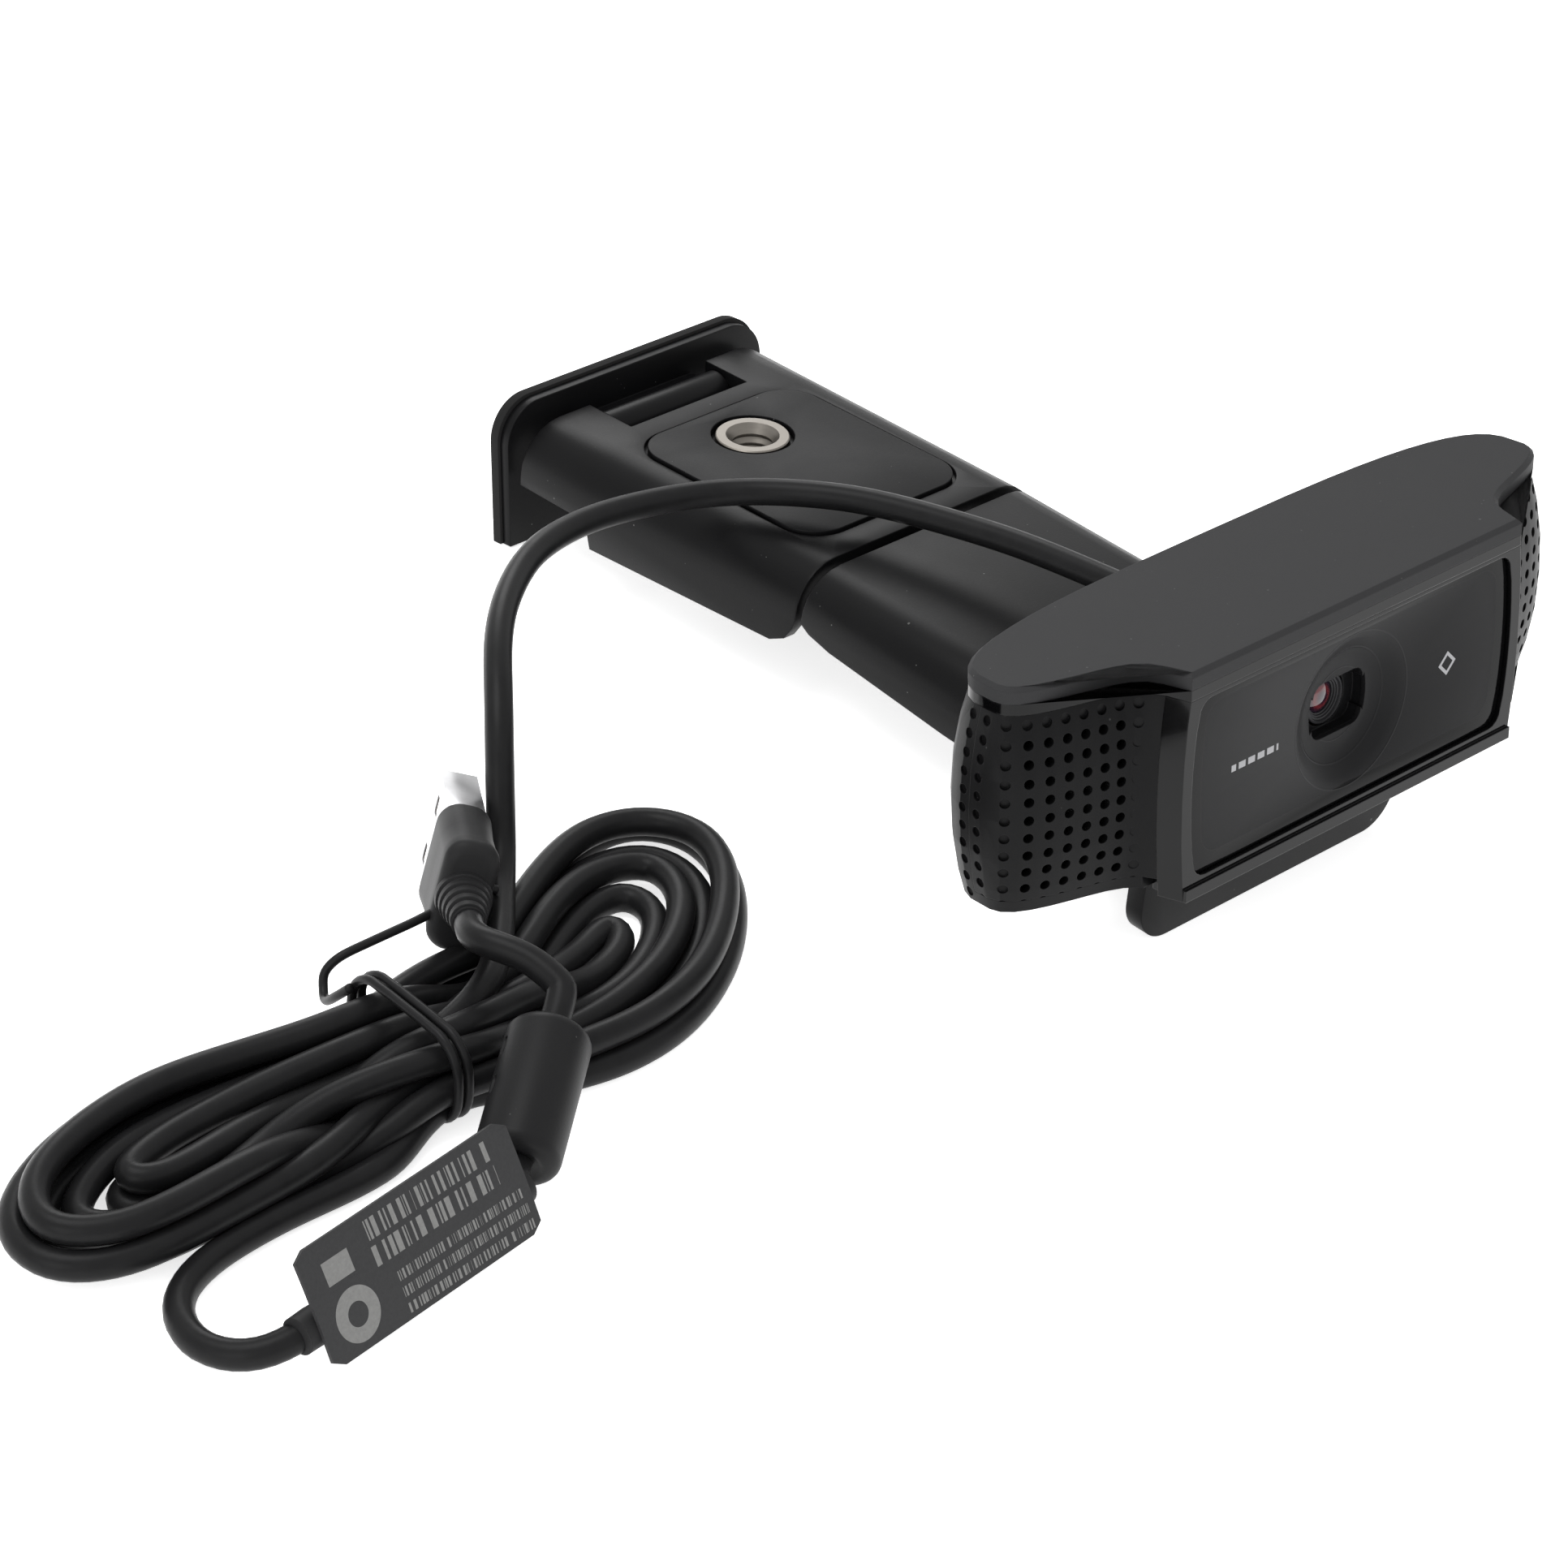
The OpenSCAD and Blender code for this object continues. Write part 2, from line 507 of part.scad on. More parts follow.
panel_t = 1.1;
screw_from_end = 16.3;          // rear screws, from the end of the leg
leg_screw_at = [[9, 11], [-9, 11], [11.5, leg_len - screw_from_end], [-11.5, leg_len - screw_from_end]];
module leg_shell() color([0.07, 0.07, 0.072]) in_leg() difference() {
    union() {
        channel(leg_stations, leg_r, shell_t);
        // Bosses for the toe's pin, either side of the slot
        both_sides() translate([slot_half_w - 0.5, slot_y + 0.6, toe_axis_z - 2.6])
            cube([3.9, leg_len - slot_y - 1, leg_top - shell_t - toe_axis_z + 3]);
        // Socket block that holds the insert
        translate([0, insert_y, leg_top - insert_h - 0.6]) cylinder(r = insert_r + 1.8, h = insert_h - 1);
    }
    translate([-slot_half_w, slot_y, -10]) cube([2 * slot_half_w, 40, 40]);
    rounded_plate(panel_half_w, panel_y0, panel_y1, panel_r, leg_top - 0.8, leg_top + 5);
    translate([0, insert_y, -20]) cylinder(r = insert_r, h = 60);
    along_x(-slot_half_w - 3, toe_axis_y, toe_axis_z) cylinder(r = pin_r - 0.3 + slip, h = 2 * slot_half_w + 6);
    for (p = leg_screw_at) translate([p[0], p[1], -20]) cylinder(r = screw_r + slip, h = 60);
}

module leg_knuckles() color([0.1, 0.1, 0.105]) in_leg() {
    lobe = (knuckle_out - knuckle_in) - 0.6;
    both_sides() difference() {
        union() {
            along_x(knuckle_in + gap, 0, 0) cylinder(r = fold_barrel_r, h = lobe);
            translate([knuckle_in + gap, 0.4, 0]) cube([lobe, 2.6, leg_top - shell_t]);
        }
        along_x(0, 0, 0) cylinder(r = pin_r + slip, h = 40);
    }
    translate([-knuckle_in - gap - lobe, 3.0, leg_top - shell_t - 1.5]) difference() {
        cube([2 * (knuckle_in + gap + lobe), 12, 1.5]);
        for (p = leg_screw_at) if (p[1] < 20)
            translate([knuckle_in + gap + lobe + p[0], p[1] - 3, -1]) cylinder(r = screw_r + slip, h = 5);
    }
}

groove = 0.5;
panel_proud = 0.3;
module tripod_panel() color([0.08, 0.08, 0.082]) in_leg() difference() {
    rounded_plate(panel_half_w - groove, panel_y0 + groove, panel_y1 - groove, panel_r - groove,
        leg_top - 0.8, leg_top + panel_proud);
    translate([0, insert_y, 0]) cylinder(r = insert_r + 0.6, h = 30);
    for (p = leg_screw_at) translate([p[0], p[1], leg_top - 2]) cylinder(r = screw_r + slip, h = 1.9);
}
module threaded_insert() color([0.75, 0.7, 0.6]) in_leg() translate([0, insert_y, leg_top + panel_proud - insert_h]) difference() {
    union() {
        cylinder(r = insert_r, h = insert_h);
        translate([0, 0, -0.8]) cylinder(r = insert_r - 1.2, h = 1);
    }
    translate([0, 0, -2]) cylinder(r = thread_r, h = insert_h + 4);
    translate([0, 0, insert_h - 0.7]) cylinder(r1 = thread_r, r2 = thread_r + 0.8, h = 0.71);
}
module leg_screws() color([0.4, 0.4, 0.42]) in_leg() for (p = leg_screw_at) {
    seat = p[1] < 20 ? leg_top - shell_t - 1.5 : leg_top - shell_t;
    translate([p[0], p[1], seat]) cylinder(r = screw_r, h = leg_top - 0.4 - seat);
    translate([p[0], p[1], seat - 1]) difference() {
        cylinder(r = 1.6, h = 1);
        translate([0, 0, -0.1]) cylinder(r = 0.7, h = 0.6, $fn = 6);
    }
}

// ---- Toe, in its own frame: origin on its hinge ----

toe_r = 5.5;
// Plate with two large rounded upper corners
module toe_outline(y0, t, inset) {
    w = lip_half_w - inset;
    up = toe_up - inset;
    translate([-w, y0, -toe_down]) cube([2 * w, t, toe_down + up - toe_r]);
    translate([-w + toe_r, y0, -toe_down]) cube([2 * (w - toe_r), t, toe_down + up]);
    both_sides() along_y(y0, up - toe_r, w - toe_r) cylinder(r = toe_r, h = t);
}
toe_barrel_half = slot_half_w - 0.5;
module toe_plate() color([0.07, 0.07, 0.072]) in_toe() difference() {
    union() {
        toe_outline(toe_face, toe_t, 0.4);
        along_x(-toe_barrel_half, 0, 0) cylinder(r = 2.6, h = 2 * toe_barrel_half);
        translate([-toe_barrel_half, 0, -2.6]) cube([2 * toe_barrel_half, toe_face + 0.1, 3.4]);
    }
    along_x(-40, 0, 0) cylinder(r = pin_r - 0.3 + slip, h = 80);
}
module toe_pad() color([0.03, 0.03, 0.03]) in_toe() toe_outline(toe_face + toe_t, toe_pad_t, 0);
module toe_pin() color([0.6, 0.6, 0.62]) in_leg()
    along_x(-slot_half_w - 2.8, toe_axis_y, toe_axis_z) cylinder(r = pin_r - 0.3, h = 2 * slot_half_w + 5.6);

// ---- Cord, tied hank and USB plug ----

cord_color = [0.035, 0.035, 0.036];
// Smooth curve through hand-set points, then a tube of 8 sides swept along it
function spline_point(p, i, t) = let (n = len(p), a = p[max(i - 1, 0)], b = p[i], c = p[i + 1], d = p[min(i + 2, n - 1)])
    0.5 * (2 * b + (c - a) * t + (2 * a - 5 * b + 4 * c - d) * t * t + (3 * b - a - 3 * c + d) * t * t * t);
function spline(p, steps) = concat([for (i = [0:len(p) - 2], k = [0:steps - 1]) spline_point(p, i, k / steps)], [p[len(p) - 1]]);
function tangent(c, i) = unit(i == 0 ? c[1] - c[0] : i == len(c) - 1 ? c[i] - c[i - 1] : c[i + 1] - c[i - 1]);
// Side vectors carried along the curve, so that the tube doesn't twist
function sides_along(c, i, prev) = let (t = tangent(c, i), s = unit(prev - t * (prev * t)))
    i == len(c) - 1 ? [s] : concat([s], sides_along(c, i + 1, s));
module tube(points, d, steps) {
    c = spline(points, steps);
    t0 = tangent(c, 0);
    side = sides_along(c, 0, abs(t0[2]) < 0.8 ? [0, 0, 1] : [1, 0, 0]);
    r = d / 2 / cos(22.5);
    rings = [for (i = [0:len(c) - 1]) let (t = tangent(c, i), u = side[i], v = cross(t, u))
        [for (a = [0:45:315]) c[i] + r * (cos(a) * u - sin(a) * v)]];
    loft([for (k = [len(rings) - 1:-1:0]) rings[k]]);
}

exit_y = relief_y + relief_len;
lead_start = [0, (exit_y + 0.15) * cos(head_tilt) + cord_exit_z * sin(head_tilt) - mid_y,
    -exit_y * sin(head_tilt) + cord_exit_z * cos(head_tilt) + head_lift];
lead_next = lead_start + 4 * [0, cos(head_tilt), -sin(head_tilt)];
lead_points = [lead_start, lead_next, [-0.8, -12, 26.4], [-3.4, 1.6, 25], [-7.4, 13.4, 24], [-13, 21.8, 22.8],
    [-19.5, 27, 22.3], [-27, 29, 22.6], [-36, 29.6, 23.2], [-45, 28, 23.9], [-53, 24, 24.2], [-60.5, 18.2, 24.2],
    [-66, 12.8, 23.4], [-69.6, 8.2, 21.6], [-72.6, 4.2, 18.4], [-74.9, 1.2, 13.5], [-76.6, -0.8, 8.5], [-78.4, -2.8, 4.6],
    [-81, -5.4, 2.4]];
module cord_lead() color(cord_color) tube(lead_points, cord_d, 2);

tie_x = -108;
tie_y = -22.3;
tie_half = 10.2;
tie_h = 12.4;
wire_r = 0.6;
tie_round = 4.5;
module rounded_2d(w, h, r) {
    square([w - 2 * r, h], center = true);
    square([w, h - 2 * r], center = true);
    for (x = [-w / 2 + r, w / 2 - r], y = [-h / 2 + r, h / 2 - r]) translate([x, y]) circle(r = r);
}
module across_tie(w) { translate([tie_x, tie_y, tie_h / 2]) rotate([90, 0, 90]) linear_extrude(w, center = true) children(); }
module tie_wire() color([0.03, 0.03, 0.03]) across_tie(4 * wire_r) difference() {
    rounded_2d(2 * tie_half, tie_h, tie_round);
    rounded_2d(2 * tie_half - 4 * wire_r, tie_h - 4 * wire_r, tie_round - 2 * wire_r);
}
ferrite_a = [-98.5, -34.5, 11];
ferrite_b = [-112, -44.4, 5.4];
module from_to(a, b) {
    d = b - a;
    translate(a) rotate([0, acos(d[2] / norm(d)), atan2(d[1], d[0])]) children();
}
plug_at = [-78, 8.46, -0.05];
plug_turn = [12.15, 13.06, 53.3];
mould_w = 6.4;
mould_h = 13.4;
shell_w = 4.5;
shell_h = 12;
shell_len = 12;
mould_len = 13;
boot_len = 7;
module in_plug() { translate(plug_at) rotate(plug_turn) children(); }

hank_plan = [[-64.8, -29], [-57.8, -23], [-52.6, -17.4], [-49.2, -11.5], [-48.4, -5], [-51.6, 0], [-58, 1.8], [-66.7, 0.8],
    [-80, -3], [-91, -7.6], [-100, -10.4], [-114, -10.6], [-127.5, -8.6], [-142, -9.8], [-151.5, -12.4], [-159.6, -16.6],
    [-163, -22.4], [-161.6, -27], [-156.5, -30.6], [-149.8, -32], [-139.8, -32.2], [-127.8, -31.4], [-114, -30.6],
    [-101, -32], [-92.8, -34.2], [-83.5, -35.4], [-73.4, -33.6]];
module cord_hank() color(cord_color) {
    core_y = 2 * tie_half - 4 * wire_r - 0.2;
    core_z = tie_h - 4 * wire_r - 0.2;
    cut = 1.2;
    band = 4 * wire_r + 2 * gap;
    difference() {
        linear_extrude(hank_h) polygon(hank_plan);
        translate([tie_x - band / 2, tie_y - 50, -1]) cube([band, 100, 100]);
        from_to(ferrite_a, ferrite_b) translate([0, 0, -4]) cylinder(r = ferrite_d / 2 + gap, h = 40);
        in_plug() translate([-shell_len - mould_len - boot_len, -mould_w / 2 - gap, -1]) cube([40, mould_w + 2 * gap, 30]);
    }
    across_tie(band + 2) polygon([for (q = [[1, 1], [-1, 1], [-1, -1], [1, -1]])
        each (q[0] * q[1] > 0 ? [[q[0] * core_y / 2, q[1] * (core_z / 2 - cut)], [q[0] * (core_y / 2 - cut), q[1] * core_z / 2]]
                              : [[q[0] * (core_y / 2 - cut), q[1] * core_z / 2], [q[0] * core_y / 2, q[1] * (core_z / 2 - cut)]])]);
}
tail_points = [[-149.6, -32.4, 2], [-151.8, -36, 2.1], [-154.2, -41, 2.1], [-154.8, -45.4, 2.2], [-153.2, -49.2, 2.4],
    [-150, -51.2, 3.2], [-145.8, -51, 4.3]];
module cord_tail() color(cord_color) tube(tail_points, cord_d, 2);
link_points = [[-114.9, -47.6, 5.5], [-113.4, -46.2, 5.5], ferrite_b];
module cord_link() color(cord_color) tube(link_points, cord_d, 1);
loop_points = [ferrite_a, [-96, -32.6, 12], [-93, -31.2, 14], [-89.8, -28.6, 15.2], [-91.4, -24.6, 15.4], [-96.4, -25, 14.8]];
module cord_loop() color(cord_color) tube(loop_points, cord_d, 2);

bead_round = 1.4;
module ferrite_core() color([0.05, 0.05, 0.052]) from_to(ferrite_a, ferrite_b) {
    bead_len = norm(ferrite_b - ferrite_a);
    cylinder(r1 = ferrite_d / 2 - bead_round, r2 = ferrite_d / 2, h = bead_round);
    translate([0, 0, bead_round]) cylinder(r = ferrite_d / 2, h = bead_len - 2 * bead_round);
    translate([0, 0, bead_len - bead_round]) cylinder(r1 = ferrite_d / 2, r2 = ferrite_d / 2 - bead_round, h = bead_round);
}

// The label is wrapped round the cord, its printed face flat and leaning on the table in front of it
label_start = [-145.8, -51, 4.3];
label_end = [-114.9, -47.6, 5.5];
label_t = 0.45;
label_flag = 13;
label_below = 4.5;
label_lean = 151;
module label_sleeve() color([0.2, 0.2, 0.2]) from_to(label_start, label_end) {
    label_len = norm(label_end - label_start);
    cylinder(r = cord_d / 2 + label_t, h = label_len);
    rotate([0, 0, label_lean]) translate([-label_below, cord_d / 2, 0]) cube([label_flag, 2 * label_t, label_len]);
}

module plug_body() color([0.12, 0.12, 0.122]) in_plug() {
    bevel = 1.2;
    y = mould_w / 2;
    z = mould_h;
    x1 = -shell_len;
    x0 = x1 - mould_len;
    loft([for (s = [[x0, bevel], [x0 + bevel, 0], [x1 - bevel, 0], [x1, bevel]])
        [[s[0], y - s[1], z - 2 - s[1]], [s[0], y - 2, z - s[1]], [s[0], -y + 2, z - s[1]], [s[0], -y + s[1], z - 2 - s[1]],
        [s[0], -y + s[1], 2 + s[1]], [s[0], -y + 2, s[1]], [s[0], y - 2, s[1]], [s[0], y - s[1], 2 + s[1]]]]);
    along_x(x0 - boot_len, 0, mould_h / 2) cylinder(r1 = cord_d / 2 + 0.4, r2 = 3.4, h = boot_len);
}
module plug_shell() color([0.75, 0.75, 0.76]) in_plug() difference() {
    translate([-shell_len, -shell_w / 2, (mould_h - shell_h) / 2]) cube([shell_len, shell_w, shell_h]);
    translate([-shell_len + 0.4, -shell_w / 2 + 0.35, (mould_h - shell_h) / 2 + 0.35]) cube([shell_len, shell_w - 0.7, shell_h - 0.7]);
    for (z = [-3, 3]) translate([-5.8, -10, mould_h / 2 + z - 1.1]) cube([2.4, 20, 2.2]);
}
module plug_tongue() color([0.9, 0.9, 0.9]) in_plug()
    translate([-shell_len + 0.4, -shell_w / 2 + 0.35, (mould_h - shell_h) / 2 + 0.4]) cube([shell_len - 1.4, 1.7, shell_h - 0.8]);
module plug_contacts() color([0.85, 0.7, 0.3]) in_plug() for (z = [-3.5, -1.2, 1.2, 3.5])
    translate([-shell_len + 2, -shell_w / 2 + 2.05, mould_h / 2 + z - 0.5]) cube([shell_len - 3.4, 0.15, 1]);

top_cover();
trim_band();
rear_shell();
left_grille();
right_grille();
front_bezel();
front_window();
lens_hood();
lens_barrel();
lens_glass();
focus_coil();
image_sensor();
sensor_board();
main_board();
processor_chip();
cord_socket();
inner_cord();
left_microphone();
right_microphone();
left_mic_boot();
right_mic_boot();
light_guides();
housing_screws();
tilt_pin();
strain_relief();
arm_shell();
front_lip();
lip_pad();
arm_knuckle();
fold_pin();
leg_shell();
leg_knuckles();
tripod_panel();
threaded_insert();
leg_screws();
toe_plate();
toe_pad();
toe_pin();
cord_lead();
cord_hank();
cord_tail();
cord_link();
cord_loop();
tie_wire();
ferrite_core();
label_sleeve();
plug_body();
plug_shell();
plug_tongue();
plug_contacts();
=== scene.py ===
"""Looks of a clip-on webcam with its tied cord: pieces, finishes, floor, lights and camera.

Lengths in the tables are millimetres unless a name ends in _m; the frame itself is in metres.
"""

import math

import bpy
import numpy as np
from bpy.props import FloatProperty, FloatVectorProperty, IntProperty, PointerProperty
from mathutils import Euler, Matrix, Vector


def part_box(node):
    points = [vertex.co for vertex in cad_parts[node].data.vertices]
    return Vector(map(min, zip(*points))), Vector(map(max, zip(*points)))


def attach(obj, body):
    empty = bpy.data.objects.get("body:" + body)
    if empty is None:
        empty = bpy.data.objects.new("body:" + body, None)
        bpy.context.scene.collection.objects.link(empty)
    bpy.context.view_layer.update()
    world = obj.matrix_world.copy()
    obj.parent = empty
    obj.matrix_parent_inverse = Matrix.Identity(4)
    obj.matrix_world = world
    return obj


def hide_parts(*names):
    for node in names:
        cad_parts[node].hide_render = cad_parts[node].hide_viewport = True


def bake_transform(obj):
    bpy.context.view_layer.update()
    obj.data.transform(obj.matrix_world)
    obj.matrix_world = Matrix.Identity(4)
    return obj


bl_info = {
    "name": "Clip Webcam with Tied Cord",
    "version": (1, 0, 0),
    "blender": (4, 5, 0),
    "location": "View3D > Sidebar > Clip Webcam",
    "description": "Builds the visible pieces and the finishes of a clip-on webcam round its frame",
    "category": "Add Mesh",
}

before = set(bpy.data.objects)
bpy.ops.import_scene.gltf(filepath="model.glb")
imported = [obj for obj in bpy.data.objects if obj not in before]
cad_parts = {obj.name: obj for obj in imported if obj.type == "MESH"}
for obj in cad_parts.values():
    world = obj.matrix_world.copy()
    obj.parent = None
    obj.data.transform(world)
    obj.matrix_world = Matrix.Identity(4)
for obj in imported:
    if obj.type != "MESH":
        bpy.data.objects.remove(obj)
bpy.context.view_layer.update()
MM = 0.001

# Frames of the part, in millimetres
MID_Y = 63.162
HEAD_LIFT = 14.9
HEAD_TILT = math.radians(6.9)
FOLD_Y = 70.5
FOLD_Z = 10.6
LEG_DROP = math.radians(3.1)
STAND = Matrix.Translation((0, -MID_Y, 0))
HEAD = STAND @ Matrix.Translation((0, 0, HEAD_LIFT)) @ Matrix.Rotation(-HEAD_TILT, 4, "X")
LEG = STAND @ Matrix.Translation((0, FOLD_Y, FOLD_Z)) @ Matrix.Rotation(-LEG_DROP, 4, "X")
PART = Matrix.Identity(4)

# Head and lens
LENS_Z = 13.8
BARREL_Y = 4.6
BARREL_R = 3.2
RELIEF_Z = 17.0
RELIEF_Y = 24.4
RELIEF_LEN = 9.0

# Cord, bead, label and plug, in the part's frame
CORD_D = 3.4
EXIT_GAP = 0.15
BEAD_A = Vector((-98.5, -34.5, 11))
BEAD_B = Vector((-112, -44.4, 5.4))
BEAD_R = 4.8
LABEL_A = Vector((-145.8, -51, 4.3))
LABEL_B = Vector((-114.9, -47.6, 5.5))
LABEL_LEAN = math.radians(151)
LABEL_BELOW = 4.5
LABEL_FLAG = 13.0
LABEL_T = 0.45
PLUG_AT = (-78.0, 8.46, -0.05)
PLUG_TURN = Euler((math.radians(12.15), math.radians(13.06), math.radians(53.3)))
PLUG = Matrix.Translation(PLUG_AT) @ PLUG_TURN.to_matrix().to_4x4()
SHELL_LEN = 12.0
MOULD_LEN = 13.0
MOULD_W = 6.4
MOULD_H = 13.4
BOOT_LEN = 7.0
TIE_X = -108.0
TIE_Y = -22.3
TIE_HALF_W = 9.6
TIE_H = 12.4
TIE_ROUND = 4.6
WIRE_D = 1.1
RIB_PITCH = 1.45
RIBS = 5

